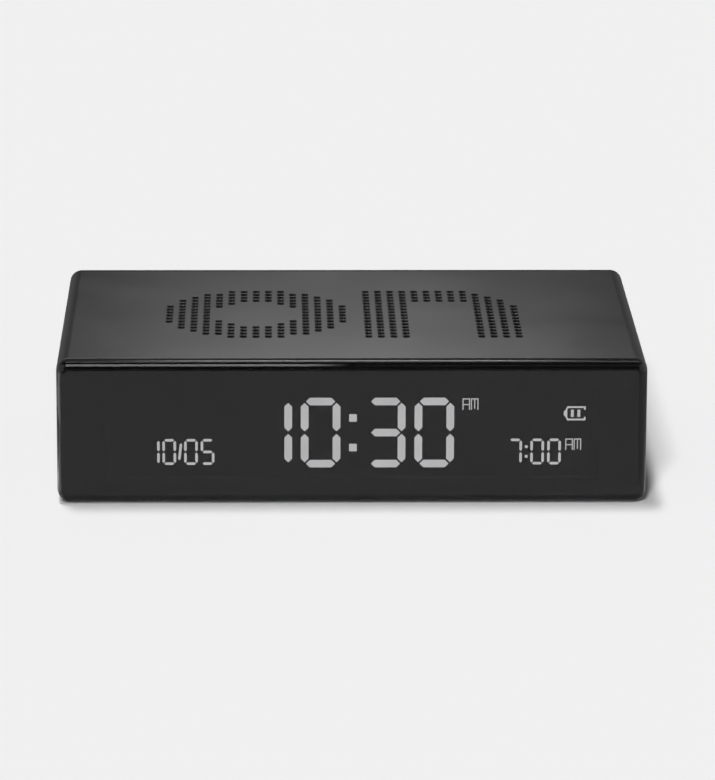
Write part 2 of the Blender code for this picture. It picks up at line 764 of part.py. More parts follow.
def gussets():
    """Triangular ribs between the front wall and the plate."""
    bm = bmesh.new()
    for index in range(GUSSET_COUNT):
        x = GUSSET_PITCH * (index - (GUSSET_COUNT - 1) / 2)
        corners = (
            (CHASSIS_INSIDE - JOIN, PLATE_TOP - JOIN),
            (CHASSIS_INSIDE + GUSSET_REACH, PLATE_TOP - JOIN),
            (CHASSIS_INSIDE - JOIN, PLATE_TOP + GUSSET_HEIGHT),
        )
        sides = (x - GUSSET_THICKNESS / 2, x + GUSSET_THICKNESS / 2)
        skin([[Vector((side, y, z)) for y, z in corners] for side in sides], bm=bm)
    return bm


def flat_outline(width, length, radius, z, centre):
    """A rounded rectangle in the plane at z, as points."""
    return [
        Vector((point.x, point.z, z))
        for point in outline(width, length, radius, 0, centre_x=centre[0], centre_z=centre[1])
    ]


def battery_cage():
    """The low wall that keeps the battery from sliding."""
    centre = (BATTERY_X, CHASSIS_MIDDLE)

    def cage_loop(z, wall):
        width = BATTERY_WIDTH + 2 * (GAP + wall)
        length = BATTERY_LENGTH + 2 * (GAP + wall)
        return flat_outline(width, length, CAGE_RADIUS + wall, z, centre)

    top = PLATE_TOP + CAGE_HEIGHT
    low = PLATE_TOP - JOIN
    return skin(
        [cage_loop(low, CAGE_WALL), cage_loop(top, CAGE_WALL), cage_loop(top, 0), cage_loop(low, 0)],
        ring=True,
    )


def board_corners():
    return [
        (side_x * STANDOFF_X, MAIN_BOARD_MIDDLE + side_y * STANDOFF_Y)
        for side_x in (-1, 1)
        for side_y in (-1, 1)
    ]


def pin_corners():
    return board_corners()[1:3]


def screw_corners():
    return board_corners()[0::3]


def standoffs():
    bm = bmesh.new()
    for corner in board_corners():
        disc(
            STANDOFF_RADIUS * 1.3,
            PLATE_TOP - JOIN,
            PLATE_TOP + STANDOFF_HEIGHT,
            corner,
            bm,
            far_radius=STANDOFF_RADIUS,
        )
    return bm


def locating_pins():
    bm = bmesh.new()
    for corner in pin_corners():
        disc(PIN_RADIUS, PLATE_TOP + STANDOFF_HEIGHT - JOIN, MAIN_BOARD_LOW + PIN_HEIGHT, corner, bm)
    return bm


def speaker_cup():
    """The round chamber wall under the loudspeaker's flange."""
    outer = SPEAKER_RADIUS
    inner = outer - CUP_WALL
    low = PLATE_TOP - JOIN
    bm = turned([(outer, low), (outer, CUP_TOP), (inner, CUP_TOP), (inner, low)], closed=True)
    bmesh.ops.translate(bm, verts=bm.verts, vec=(SPEAKER_X, SPEAKER_Y, 0))
    return bm


def speaker_ear_places():
    return [(SPEAKER_X, SPEAKER_Y + side * EAR_Y) for side in (-1, 1)]


def speaker_ears():
    """Screw columns beside the chamber."""
    bm = bmesh.new()
    for place in speaker_ear_places():
        disc(EAR_RADIUS, PLATE_TOP - JOIN, CUP_TOP, place, bm)
    return bm


def pillars():
    """Rear corner posts that take the cover's screws, with sloped feet."""
    bm = bmesh.new()
    half = PILLAR_WIDTH / 2
    for side in (-1, 1):
        x = side * PILLAR_X
        top = MID_Z + COVER_SCREW_SPREAD_Z + half
        low = PLATE_TOP - JOIN
        foot = PILLAR_DEPTH / 2
        profile = (
            (PILLAR_FRONT - foot, low),
            (PILLAR_FRONT, low + 2 * foot),
            (PILLAR_FRONT, top),
            (PILLAR_REAR, top),
            (PILLAR_REAR, low),
        )
        skin([[Vector((edge, y, z)) for y, z in profile] for edge in (x - half, x + half)], bm=bm)
    return bm


def chassis_screw_holes():
    bm = bmesh.new()
    for place in BOSS_PLACES:
        rod(SCREW_RADIUS + GAP, DISPLAY_BOARD_REAR - OVERRUN, CHASSIS_INSIDE + OVERRUN, place, bm)
    for place in COVER_SCREW_PLACES:
        rod(COVER_SCREW_RADIUS + GAP, PILLAR_FRONT + OVERRUN, PILLAR_REAR + OVERRUN, place, bm)
    for corner in screw_corners():
        top = PLATE_TOP + STANDOFF_HEIGHT
        disc(SCREW_RADIUS + GAP, top - BOARD_SCREW_LENGTH, top + OVERRUN, corner, bm)
    for place in speaker_ear_places():
        disc(SCREW_RADIUS + GAP, CUP_TOP - BOARD_SCREW_LENGTH, CUP_TOP + OVERRUN, place, bm)
    return bm


def plate_openings():
    """Vent under the loudspeaker and slots that let the lower face breathe."""
    bm = disc(VENT_RADIUS, CHASSIS_PLATE_LOW - OVERRUN, PLATE_TOP + OVERRUN, (SPEAKER_X, SPEAKER_Y))
    for index in range(SLOT_COUNT):
        x = SLOT_PITCH * (index - (SLOT_COUNT - 1) / 2)
        loops = [
            flat_outline(SLOT_WIDTH, SLOT_LENGTH, SLOT_WIDTH / 2.01, z, (x, MAIN_BOARD_MIDDLE))
            for z in (CHASSIS_PLATE_LOW - OVERRUN, PLATE_TOP + OVERRUN)
        ]
        skin(loops, bm=bm)
    return bm


def make_battery(pad_material, cell_material):
    """Rechargeable pack on a foam pad, inside its cage."""
    pad_width = BATTERY_WIDTH - BATTERY_PAD_INSET
    pad_length = BATTERY_LENGTH - BATTERY_PAD_INSET
    centre = Vector((BATTERY_X, CHASSIS_MIDDLE, 0))
    half_pad = Vector((pad_width / 2, pad_length / 2, 0))
    pad_low = Vector((0, 0, PLATE_TOP + GAP))
    pad = box(centre - half_pad + pad_low, centre + half_pad + pad_low + Vector((0, 0, BATTERY_PAD)))
    add_object("battery_pad", pad, pad_material)
    half = Vector((BATTERY_WIDTH / 2, BATTERY_LENGTH / 2, 0))
    cell = box(
        centre - half + Vector((0, 0, BATTERY_LOW)),
        centre + half + Vector((0, 0, BATTERY_TOP)),
    )
    pack = add_object("battery_pack", cell, cell_material)
    round_edges(pack, BATTERY_EDGE, 3)


def make_main_board(material, steel, can, brass, ball_material):
    """Main board with its parts, screws, tilt sensor and touch spring."""
    half = MAIN_BOARD_WIDTH / 2
    plate = box((-half, MAIN_BOARD_FRONT, MAIN_BOARD_LOW), (half, MAIN_BOARD_REAR, MAIN_BOARD_TOP))
    board = add_object("main_board", plate, material)
    join(board, board_parts(), "parts")
    holes = bmesh.new()
    for corner in screw_corners():
        disc(SCREW_RADIUS + GAP, MAIN_BOARD_LOW - OVERRUN, MAIN_BOARD_TOP + OVERRUN, corner, holes)
    for corner in pin_corners():
        disc(PIN_RADIUS + GAP, MAIN_BOARD_LOW - OVERRUN, MAIN_BOARD_TOP + OVERRUN, corner, holes)
    cut(board, holes, "holes")
    for index, (x, y) in enumerate(screw_corners()):
        place = (x, y, MAIN_BOARD_TOP + GAP)
        add_object(f"board_screw_{index + 1}", screw_mesh(BOARD_SCREW_LENGTH), steel, location=place)
    make_tilt_sensor(can, ball_material)
    make_touch_spring(brass)


def board_place(place_shares):
    """A place on the main board, in shares of its width and length from its middle."""
    share_x, share_y = place_shares
    return share_x * MAIN_BOARD_WIDTH, MAIN_BOARD_MIDDLE + share_y * MAIN_BOARD_LENGTH


def board_parts():
    """Chips, coil, capacitors and connectors, soldered to the board and so one piece with it."""
    bm = bmesh.new()
    low = MAIN_BOARD_TOP - JOIN
    chips = ((CHIP_PLACE_SHARES, CHIP_SIZE), (SMALL_CHIP_PLACE_SHARES, SMALL_CHIP_SIZE))
    for place_shares, size in chips:
        centre = Vector((*board_place(place_shares), 0))
        reach = Vector((size / 2, size / 2, 0))
        box(
            centre - reach + Vector((0, 0, low)),
            centre + reach + Vector((0, 0, MAIN_BOARD_TOP + CHIP_HEIGHT)),
            bm,
        )
    coil = Vector((*board_place(COIL_PLACE_SHARES), 0))
    reach = Vector((COIL_SIZE / 2, COIL_SIZE / 2, 0))
    box(coil - reach + Vector((0, 0, low)), coil + reach + Vector((0, 0, MAIN_BOARD_TOP + COIL_HEIGHT)), bm)
    for place_shares in CAPACITOR_PLACE_SHARES:
        disc(CAPACITOR_RADIUS, low, MAIN_BOARD_TOP + CAPACITOR_HEIGHT, board_place(place_shares), bm)
    connector_half = RIBBON_WIDTH / 2 + RIBBON_BORDER
    for front in (MAIN_BOARD_FRONT, MAIN_BOARD_REAR - CONNECTOR_DEPTH):
        box(
            (-connector_half, front, low),
            (connector_half, front + CONNECTOR_DEPTH, MAIN_BOARD_TOP + CONNECTOR_HEIGHT),
            bm,
        )
    for side in (-1, 1):
        outer = side * MAIN_BOARD_WIDTH / 2
        inner = outer - side * CONNECTOR_DEPTH
        middle = MAIN_BOARD_MIDDLE - side * CONNECTOR_DEPTH / 2
        box(
            (min(inner, outer), middle - CONNECTOR_DEPTH, low),
            (max(inner, outer), middle + CONNECTOR_DEPTH, MAIN_BOARD_TOP + CONNECTOR_HEIGHT),
            bm,
        )
    return bm


def make_tilt_sensor(can, ball_material):
    """A steel can over a ball that rests on the board, or on the can's roof when turned over."""
    axis = add_empty("tilt_sensor_axis", (*board_place(TILT_PLACE_SHARES), MAIN_BOARD_TOP))
    inner = TILT_CAN_RADIUS - TILT_CAN_WALL
    top = GAP + TILT_CAN_HEIGHT
    profile = [
        (inner, GAP),
        (TILT_CAN_RADIUS, GAP),
        (TILT_CAN_RADIUS, top - TILT_CAN_WALL),
        (TILT_CAN_RADIUS - TILT_CAN_WALL, top),
        (0, top),
        (0, top - TILT_CAN_WALL),
        (inner, top - TILT_CAN_WALL),
    ]
    add_object("tilt_sensor_can", turned(profile, sides=SMALL_SIDES, closed=True), can, parent=axis)
    ball = bmesh.new()
    place = Matrix.Translation((0, 0, GAP + TILT_BALL_RADIUS))
    bmesh.ops.create_uvsphere(ball, u_segments=SMALL_SIDES, v_segments=10, radius=TILT_BALL_RADIUS, matrix=place)
    add_object("tilt_ball", ball, ball_material, parent=axis)


def make_touch_spring(brass):
    """A helical spring that presses on the inside of the metal body."""
    low = MAIN_BOARD_TOP + GAP + SPRING_WIRE / 2
    high = INNER_HIGH - GAP - SPRING_WIRE / 2
    place = Vector((SPRING_SHIFT_X, MAIN_BOARD_REAR - SPRING_INSET, 0))
    total = (SPRING_TURNS + 2 * SPRING_FOOT_TURNS) * SPRING_STEPS
    foot = SPRING_FOOT_TURNS * SPRING_STEPS
    closed_rise = SPRING_WIRE + GAP
    points = []
    for step in range(total + 1):
        angle = 2 * math.pi * step / SPRING_STEPS
        if step <= foot:
            z = low + closed_rise * step / foot
        elif step >= total - foot:
            z = high - closed_rise * (total - step) / foot
        else:
            share = (step - foot) / (total - 2 * foot)
            z = low + closed_rise + (high - low - 2 * closed_rise) * share
        points.append(place + Vector((SPRING_RADIUS * math.cos(angle), SPRING_RADIUS * math.sin(angle), z)))
    make_tube("touch_spring", points, SPRING_WIRE, brass, resolution=0)


def make_tube(name, points, diameter, material, resolution=1):
    curve = bpy.data.curves.new(name, "CURVE")
    curve.dimensions = "3D"
    curve.bevel_depth = diameter / 2
    curve.bevel_resolution = resolution
    curve.use_fill_caps = True
    curve.materials.append(material)
    spline = curve.splines.new("POLY")
    spline.points.add(len(points) - 1)
    for target, point in zip(spline.points, points):
        target.co = (*point, 1)
    made = bpy.data.objects.new(name, curve)
    bpy.context.scene.collection.objects.link(made)
    return made


def smooth_route(anchors, steps=LEAD_STEPS):
    """Points on a smooth curve through the anchors, which leaves both ends along its first and last leg."""
    points = []
    padded = [2 * anchors[0] - anchors[1], *anchors, 2 * anchors[-1] - anchors[-2]]
    for before, start, end, after in zip(padded, padded[1:], padded[2:], padded[3:]):
        for step in range(steps):
            t = step / steps
            points.append(
                start
                + (end - before) * t / 2
                + (before * 2 - start * 5 + end * 4 - after) * t**2 / 2
                + (start * 3 - before - end * 3 + after) * t**3 / 2
            )
    points.append(anchors[-1])
    return points


def make_speaker(plastic, magnet_material, paper, rubber, foam, steel):
    """Loudspeaker in parts: basket, magnet, cone, surround and gasket."""
    axis = add_empty("speaker_axis", (SPEAKER_X, SPEAKER_Y, 0))
    throat = MAGNET_RADIUS - BASKET_WALL
    opening = SPEAKER_RADIUS - FLANGE_WIDTH
    basket_foot = MAGNET_TOP + GAP
    profile = [
        (throat - BASKET_WALL, basket_foot),
        (throat + BASKET_WALL, basket_foot),
        (opening + BASKET_WALL, FLANGE_LOW),
        (SPEAKER_RADIUS, FLANGE_LOW),
        (SPEAKER_RADIUS, FLANGE_TOP),
        (opening, FLANGE_TOP),
        (throat, basket_foot + BASKET_WALL),
        (throat - BASKET_WALL, basket_foot + BASKET_WALL),
    ]
    basket = add_object("speaker_basket", turned(profile, closed=True), plastic, parent=axis)
    make_basket_ears(basket)
    make_basket_windows(basket)

    gap_inner = COIL_RADIUS - COIL_WALL / 2 - COIL_CLEARANCE
    gap_outer = COIL_RADIUS + COIL_WALL / 2 + COIL_CLEARANCE
    gap_floor = MAGNET_TOP - COIL_DIP - 2 * CONE_TRAVEL
    magnet_low = MAGNET_TOP - MAGNET_HEIGHT
    profile = [
        (0, magnet_low),
        (MAGNET_RADIUS - BASKET_WALL, magnet_low),
        (MAGNET_RADIUS, magnet_low + BASKET_WALL),
        (MAGNET_RADIUS, MAGNET_TOP),
        (gap_outer, MAGNET_TOP),
        (gap_outer, gap_floor),
        (gap_inner, gap_floor),
        (gap_inner, MAGNET_TOP),
        (0, MAGNET_TOP),
    ]
    add_object("speaker_magnet", turned(profile), magnet_material, parent=axis)
    add_object("speaker_cone", cone_mesh(), paper, parent=axis)
    add_object("speaker_surround", surround_mesh(), rubber, parent=axis)
    ring = [
        (LIP_INNER, GASKET_LOW),
        (SPEAKER_RADIUS, GASKET_LOW),
        (SPEAKER_RADIUS, GASKET_LOW + GASKET_HEIGHT),
        (LIP_INNER, GASKET_LOW + GASKET_HEIGHT),
    ]
    add_object("speaker_gasket", turned(ring, closed=True), foam, parent=axis)
    for index, (x, y) in enumerate(speaker_ear_places()):
        place = (x, y, FLANGE_TOP + GAP)
        add_object(f"speaker_screw_{index + 1}", screw_mesh(BOARD_SCREW_LENGTH), steel, location=place)


def make_basket_ears(basket):
    ears = bmesh.new()
    holes = bmesh.new()
    for side in (-1, 1):
        disc(EAR_RADIUS, FLANGE_LOW, FLANGE_TOP, (0, side * EAR_Y), ears)
        disc(SCREW_RADIUS + GAP, FLANGE_LOW - OVERRUN, FLANGE_TOP + OVERRUN, (0, side * EAR_Y), holes)
    for bm in (ears, holes):
        bmesh.ops.translate(bm, verts=bm.verts, vec=(SPEAKER_X, SPEAKER_Y, 0))
    join(basket, ears, "ears")
    cut(basket, holes, "ear_holes")


def make_basket_windows(basket):
    """Openings between the basket's spokes."""
    bm = bmesh.new()
    low = MAGNET_TOP + GAP + 2 * BASKET_WALL
    high = FLANGE_LOW - BASKET_WALL
    for index in range(BASKET_WINDOWS):
        window = box(
            (COIL_RADIUS, -BASKET_WINDOW_WIDTH / 2, low),
            (SPEAKER_RADIUS - BASKET_WALL, BASKET_WINDOW_WIDTH / 2, high),
        )
        turn = Matrix.Rotation(2 * math.pi * (index + 1 / 2) / BASKET_WINDOWS, 4, "Z")
        window.transform(Matrix.Translation((SPEAKER_X, SPEAKER_Y, 0)) @ turn)
        shape = bpy.data.meshes.new("window")
        window.to_mesh(shape)
        window.free()
        bm.from_mesh(shape)
        bpy.data.meshes.remove(shape)
    cut(basket, bm, "windows")


def cone_mesh():
    """Paper cone, coil former and domed cap in one piece, as glued."""
    rim = FLANGE_TOP - CONE_WALL
    neck = rim - CONE_DEPTH
    coil_low = MAGNET_TOP - COIL_DIP
    outer = COIL_RADIUS + COIL_WALL / 2
    inner = COIL_RADIUS - COIL_WALL / 2
    dome_top = neck + CONE_WALL + CAP_RISE

    def dome(radius, base):
        angles = [math.pi / 2 * step / ROLL_STEPS for step in range(ROLL_STEPS)]
        return [(radius * math.cos(angle), base + CAP_RISE * math.sin(angle)) for angle in angles]

    profile = [
        *dome(inner, neck),
        (0, neck + CAP_RISE),
        (0, dome_top),
        *reversed(dome(outer + CONE_WALL, neck + CONE_WALL)),
        (CONE_RADIUS, rim + CONE_WALL),
        (CONE_RADIUS, rim),
        (outer, neck),
        (outer, coil_low),
        (inner, coil_low),
    ]
    return turned(profile, closed=True)


def surround_mesh():
    """Half-roll rubber surround with a flat lip on the basket's flange."""
    roll = SURROUND_WIDTH / 2
    centre = LIP_INNER - roll
    outside = arc(centre, LIP_LOW, roll, 180, 0)
    inside = arc(centre, LIP_LOW, roll - SURROUND_WALL, 0, 180)
    profile = [
        *outside[:-1],
        (LIP_INNER, LIP_LOW + SURROUND_WALL),
        (SPEAKER_RADIUS, LIP_LOW + SURROUND_WALL),
        (SPEAKER_RADIUS, LIP_LOW),
        *inside,
    ]
    return turned(profile, closed=True)


def make_mesh_sheets(material):
    half_x = BODY_WIDTH / 2 - MESH_MARGIN_X
    half_y = BODY_DEPTH / 2 - MESH_MARGIN_Y
    for name, low in (
        ("acoustic_mesh_top", MESH_TOP_LOW),
        ("acoustic_mesh_bottom", INNER_LOW + GAP),
    ):
        add_object(name, box((-half_x, -half_y, low), (half_x, half_y, low + MESH_THICKNESS)), material)


def make_rear_cover(material, steel):
    """Rear cover: flange flush with the sleeve, recessed panel, plug wall, screw tubes and button holes."""

    def cover_loop(y, inset):
        return outline(BODY_WIDTH - 2 * inset, BODY_HEIGHT - 2 * inset, CORNER_RADIUS - inset, y)

    recess_radius = CORNER_RADIUS - SLEEVE_WALL
    recess_width = BODY_WIDTH - 2 * PANEL_MARGIN
    recess_height = BODY_HEIGHT - 2 * PANEL_MARGIN
    loops = [
        outline(recess_width, recess_height, recess_radius, PANEL_OUTSIDE),
        outline(recess_width, recess_height, recess_radius, REAR_Y),
    ]
    for step in range(COVER_EDGE_STEPS + 1):
        angle = math.pi / 2 * (1 - step / COVER_EDGE_STEPS)
        inset = REAR_EDGE_RADIUS * (1 - math.cos(angle))
        loops.append(cover_loop(REAR_Y - REAR_EDGE_RADIUS * (1 - math.sin(angle)), inset))
    plug_outer = SLEEVE_WALL + GAP
    plug_inner = plug_outer + PLUG_WALL
    flange_front = REAR_Y - FLANGE_DEPTH
    loops.append(cover_loop(flange_front, 0))
    loops.append(cover_loop(flange_front, plug_outer))
    loops.append(cover_loop(PLUG_FRONT, plug_outer))
    loops.append(outline(BODY_WIDTH - 2 * plug_inner, BODY_HEIGHT - 2 * plug_inner, POCKET_RADIUS, PLUG_FRONT))
    loops.append(outline(BODY_WIDTH - 2 * plug_inner, BODY_HEIGHT - 2 * plug_inner, POCKET_RADIUS, PANEL_INSIDE))
    cover = add_object("rear_cover", skin(loops), material)

    tubes = bmesh.new()
    holes = bmesh.new()
    for place in COVER_SCREW_PLACES:
        rod(COVER_TUBE_RADIUS, PLUG_FRONT, PANEL_INSIDE + JOIN, place, tubes)
        rod(COVER_SCREW_RADIUS + GAP, PLUG_FRONT - OVERRUN, PANEL_OUTSIDE - COVER_HEAD_DEPTH, place, holes)
    for place in button_board_holes():
        rod(BOSS_RADIUS, BUTTON_BOARD_REAR + GAP, PANEL_INSIDE + JOIN, place, tubes)
    join(cover, tubes, "tubes")
    cut(cover, holes, "screw_holes")
    heads = bmesh.new()
    slope = COVER_HEAD_RADIUS + GAP
    for place in COVER_SCREW_PLACES:
        rod(
            COVER_SCREW_RADIUS + GAP,
            PANEL_OUTSIDE - COVER_HEAD_DEPTH - GAP,
            PANEL_OUTSIDE + JOIN,
            place,
            heads,
            rear_radius=slope + JOIN,
        )
    cut(cover, heads, "countersinks")
    pilots = bmesh.new()
    for place in button_board_holes():
        rod(SCREW_RADIUS + GAP, BUTTON_BOARD_REAR - OVERRUN, BUTTON_BOARD_REAR + BOARD_SCREW_LENGTH, place, pilots)
    cut(cover, pilots, "pilots")
    openings = bmesh.new()
    for x in BUTTON_PLACES:
        rod(BUTTON_RADIUS + GAP, PANEL_INSIDE - OVERRUN, PANEL_OUTSIDE + OVERRUN, (x, MID_Z), openings, sides=BUTTON_SIDES)
    socket_loops = [
        outline(SOCKET_WIDTH + 2 * GAP, SOCKET_HEIGHT + 2 * GAP, SOCKET_HEIGHT / 2, y)
        for y in (PANEL_INSIDE - OVERRUN, PANEL_OUTSIDE + OVERRUN)
    ]
    skin(socket_loops, bm=openings)
    cut(cover, openings, "openings")
    make_cover_screws(steel)


def button_board_holes():
    return [(side * BUTTON_BOARD_HOLE_X, MID_Z) for side in (-1, 1)]


def make_cover_screws(steel):
    """Countersunk screws from the cover into the chassis posts."""
    floor = SCREW_SOCKET_DEPTH
    profile = [
        (0, -COVER_SCREW_LENGTH),
        (COVER_SCREW_RADIUS, -COVER_SCREW_LENGTH + COVER_SCREW_RADIUS),
        (COVER_SCREW_RADIUS, -COVER_HEAD_DEPTH),
        (COVER_HEAD_RADIUS, -GAP),
        (COVER_HEAD_RADIUS, 0),
        (SCREW_SOCKET_RADIUS, 0),
        (SCREW_SOCKET_RADIUS, -floor),
        (0, -floor),
    ]
    for index, (x, z) in enumerate(COVER_SCREW_PLACES):
        add_object(
            f"cover_screw_{index + 1}",
            turned(profile, sides=SCREW_SIDES),
            steel,
            location=(x, PANEL_OUTSIDE, z),
            rotation=(-math.pi / 2, 0, 0),
        )


def button_profile():
    """Button from its stem to its dished face, heights along the press axis from the panel's inside."""
    face = PANEL_THICKNESS + BUTTON_STAND
    collar_low = COLLAR_REAR - BUTTON_COLLAR_THICKNESS - PANEL_INSIDE
    stem_low = STEM_FRONT - PANEL_INSIDE
    collar_high = COLLAR_REAR - PANEL_INSIDE
    return [
        (0, stem_low),
        (BUTTON_STEM_RADIUS, stem_low),
        (BUTTON_STEM_RADIUS, collar_low),
        (BUTTON_RADIUS + BUTTON_COLLAR, collar_low),
        (BUTTON_RADIUS + BUTTON_COLLAR, collar_high),
        (BUTTON_RADIUS, collar_high),
        *arc(BUTTON_RADIUS - BUTTON_EDGE, face - BUTTON_EDGE, BUTTON_EDGE, 0, 90, BUTTON_EDGE_STEPS),
        (BUTTON_RADIUS / 2, face - BUTTON_DISH * 3 / 4),
        (0, face - BUTTON_DISH),
    ]


def make_buttons(plastic, switch_material, plunger_material, board_material, steel):
    """Four buttons in a row, each over its tact switch on the button board."""
    loops = [
        outline(2 * BUTTON_BOARD_HALF, BUTTON_BOARD_HEIGHT, INNER_RADIUS, y)
        for y in (BUTTON_BOARD_FRONT, BUTTON_BOARD_REAR)
    ]
    board = add_object("button_board", skin(loops), board_material)
    connector_half = RIBBON_WIDTH / 2 + RIBBON_BORDER
    connector = box(
        (-connector_half, BUTTON_BOARD_FRONT - CONNECTOR_HEIGHT, MID_Z - CONNECTOR_DEPTH / 2),
        (connector_half, BUTTON_BOARD_FRONT + JOIN, MID_Z + CONNECTOR_DEPTH / 2),
    )
    join(board, connector, "connector")
    holes = bmesh.new()
    for place in button_board_holes():
        rod(SCREW_RADIUS + GAP, BUTTON_BOARD_FRONT - OVERRUN, BUTTON_BOARD_REAR + OVERRUN, place, holes)
    cut(board, holes, "holes")
    for index, (x, z) in enumerate(button_board_holes()):
        add_object(
            f"button_board_screw_{index + 1}",
            screw_mesh(BOARD_SCREW_LENGTH),
            steel,
            location=(x, BUTTON_BOARD_FRONT - GAP, z),
            rotation=(math.pi / 2, 0, 0),
        )
    for number, (name, x) in enumerate(zip(BUTTON_NAMES, BUTTON_PLACES), start=1):
        axis = add_empty(f"{name}_axis", (x, PANEL_INSIDE, MID_Z), rotation=(-math.pi / 2, 0, 0))
        add_object(name, turned(button_profile(), sides=BUTTON_SIDES), plastic, parent=axis)
        plunger_high = PLUNGER_REAR - PANEL_INSIDE
        plunger_low = SWITCH_REAR - PLUNGER_DIP - PANEL_INSIDE
        plunger = disc(PLUNGER_RADIUS, plunger_low, plunger_high)
        add_object(f"{name}_plunger", plunger, plunger_material, parent=axis)
        make_switch(number, x, switch_material)


def make_switch(number, x, material):
    half = SWITCH_SIZE / 2
    front = BUTTON_BOARD_REAR + GAP
    body = box((x - half, front, MID_Z - half), (x + half, SWITCH_REAR, MID_Z + half))
    switch = add_object(f"tact_switch_{number}", body, material)
    round_edges(switch, SWITCH_EDGE, 1)
    well = SWITCH_REAR - PLUNGER_DIP - BUTTON_TRAVEL - GAP
    bore = rod(PLUNGER_RADIUS + GAP, well, SWITCH_REAR + OVERRUN, (x, MID_Z))
    cut(switch, bore, "bore")


def make_socket(steel):
    """Charging socket: a flat-oval steel shell, closed at the board, with a contact tongue."""

    def socket_loop(y, inset):
        width = SOCKET_WIDTH - 2 * inset
        height = SOCKET_HEIGHT - 2 * inset
        return outline(width, height, height / 2.01, y)

    front = BUTTON_BOARD_REAR + GAP
    floor = front + SOCKET_FLOOR
    loops = [
        socket_loop(front, 0),
        socket_loop(PANEL_OUTSIDE, 0),
        socket_loop(PANEL_OUTSIDE, SOCKET_WALL),
        socket_loop(floor, SOCKET_WALL),
    ]
    socket = add_object("usb_socket", skin(loops), steel)
    tongue = box(
        (-TONGUE_WIDTH / 2, floor - JOIN, MID_Z - TONGUE_THICKNESS / 2),
        (TONGUE_WIDTH / 2, floor + TONGUE_DEPTH, MID_Z + TONGUE_THICKNESS / 2),
    )
    join(socket, tongue, "tongue")


def make_ribbon(name, anchors, material):
    """A flat flexible cable along a smooth route of (y, z) points."""
    route = smooth_route([Vector((0, y, z)) for y, z in anchors])
    half = RIBBON_WIDTH / 2
    loops = []
    for index, point in enumerate(route):
        along = route[min(index + 1, len(route) - 1)] - route[max(index - 1, 0)]
        across = Vector((0, -along.z, along.y)).normalized() * RIBBON_THICKNESS / 2
        loops.append(
            [
                point + Vector((-half, 0, 0)) - across,
                point + Vector((half, 0, 0)) - across,
                point + Vector((half, 0, 0)) + across,
                point + Vector((-half, 0, 0)) + across,
            ]
        )
    add_object(name, skin(loops), material)


def make_leads(material, ribbon_material):
    """Ribbons and leads between the boards, the battery and the loudspeaker."""
    display_start = DISPLAY_BOARD_REAR + CONNECTOR_SPACE - GAP
    board_front = MAIN_BOARD_FRONT - GAP
    make_ribbon(
        "display_ribbon",
        [
            (display_start, MID_Z),
            (CHASSIS_INSIDE + GAP, MID_Z),
            ((CHASSIS_INSIDE + board_front) / 2, (MID_Z + RIBBON_Z) / 2),
            (board_front - RIBBON_SLACK / 3, RIBBON_Z),
            (board_front, RIBBON_Z),
        ],
        ribbon_material,
    )
    button_end = BUTTON_BOARD_FRONT - CONNECTOR_HEIGHT - GAP
    board_rear = MAIN_BOARD_REAR + GAP
    make_ribbon(
        "button_ribbon",
        [
            (board_rear, RIBBON_Z),
            (board_rear + RIBBON_SLACK / 6, RIBBON_Z),
            (button_end - RIBBON_SLACK / 6, MID_Z),
            (button_end, MID_Z),
        ],
        ribbon_material,
    )
    lead_z = MAIN_BOARD_TOP + CONNECTOR_HEIGHT / 2
    above = PLATE_TOP + CAGE_HEIGHT + LEAD_DIAMETER
    board_edge = MAIN_BOARD_WIDTH / 2 + 2 * GAP
    connector_shift = CONNECTOR_DEPTH / 2
    battery_edge = BATTERY_X + BATTERY_WIDTH / 2 + 2 * GAP
    battery_anchors = [
        Vector((battery_edge, MAIN_BOARD_MIDDLE - CONNECTOR_DEPTH, above)),
        Vector((battery_edge + LEAD_LEG, MAIN_BOARD_MIDDLE - CONNECTOR_DEPTH, above)),
        Vector((-board_edge - LEAD_LEG, MAIN_BOARD_MIDDLE + connector_shift, lead_z)),
        Vector((-board_edge, MAIN_BOARD_MIDDLE + connector_shift, lead_z)),
    ]
    make_tube("battery_lead", smooth_route(battery_anchors), LEAD_DIAMETER, material)
    cup_edge = SPEAKER_X - SPEAKER_RADIUS - 2 * GAP
    speaker_anchors = [
        Vector((cup_edge, SPEAKER_Y, lead_z + RIBBON_SLACK)),
        Vector((cup_edge - LEAD_LEG, SPEAKER_Y, lead_z + RIBBON_SLACK)),
        Vector((board_edge + LEAD_LEG, MAIN_BOARD_MIDDLE - connector_shift, lead_z)),
        Vector((board_edge, MAIN_BOARD_MIDDLE - connector_shift, lead_z)),
    ]
    make_tube("speaker_lead", smooth_route(speaker_anchors), LEAD_DIAMETER, material)


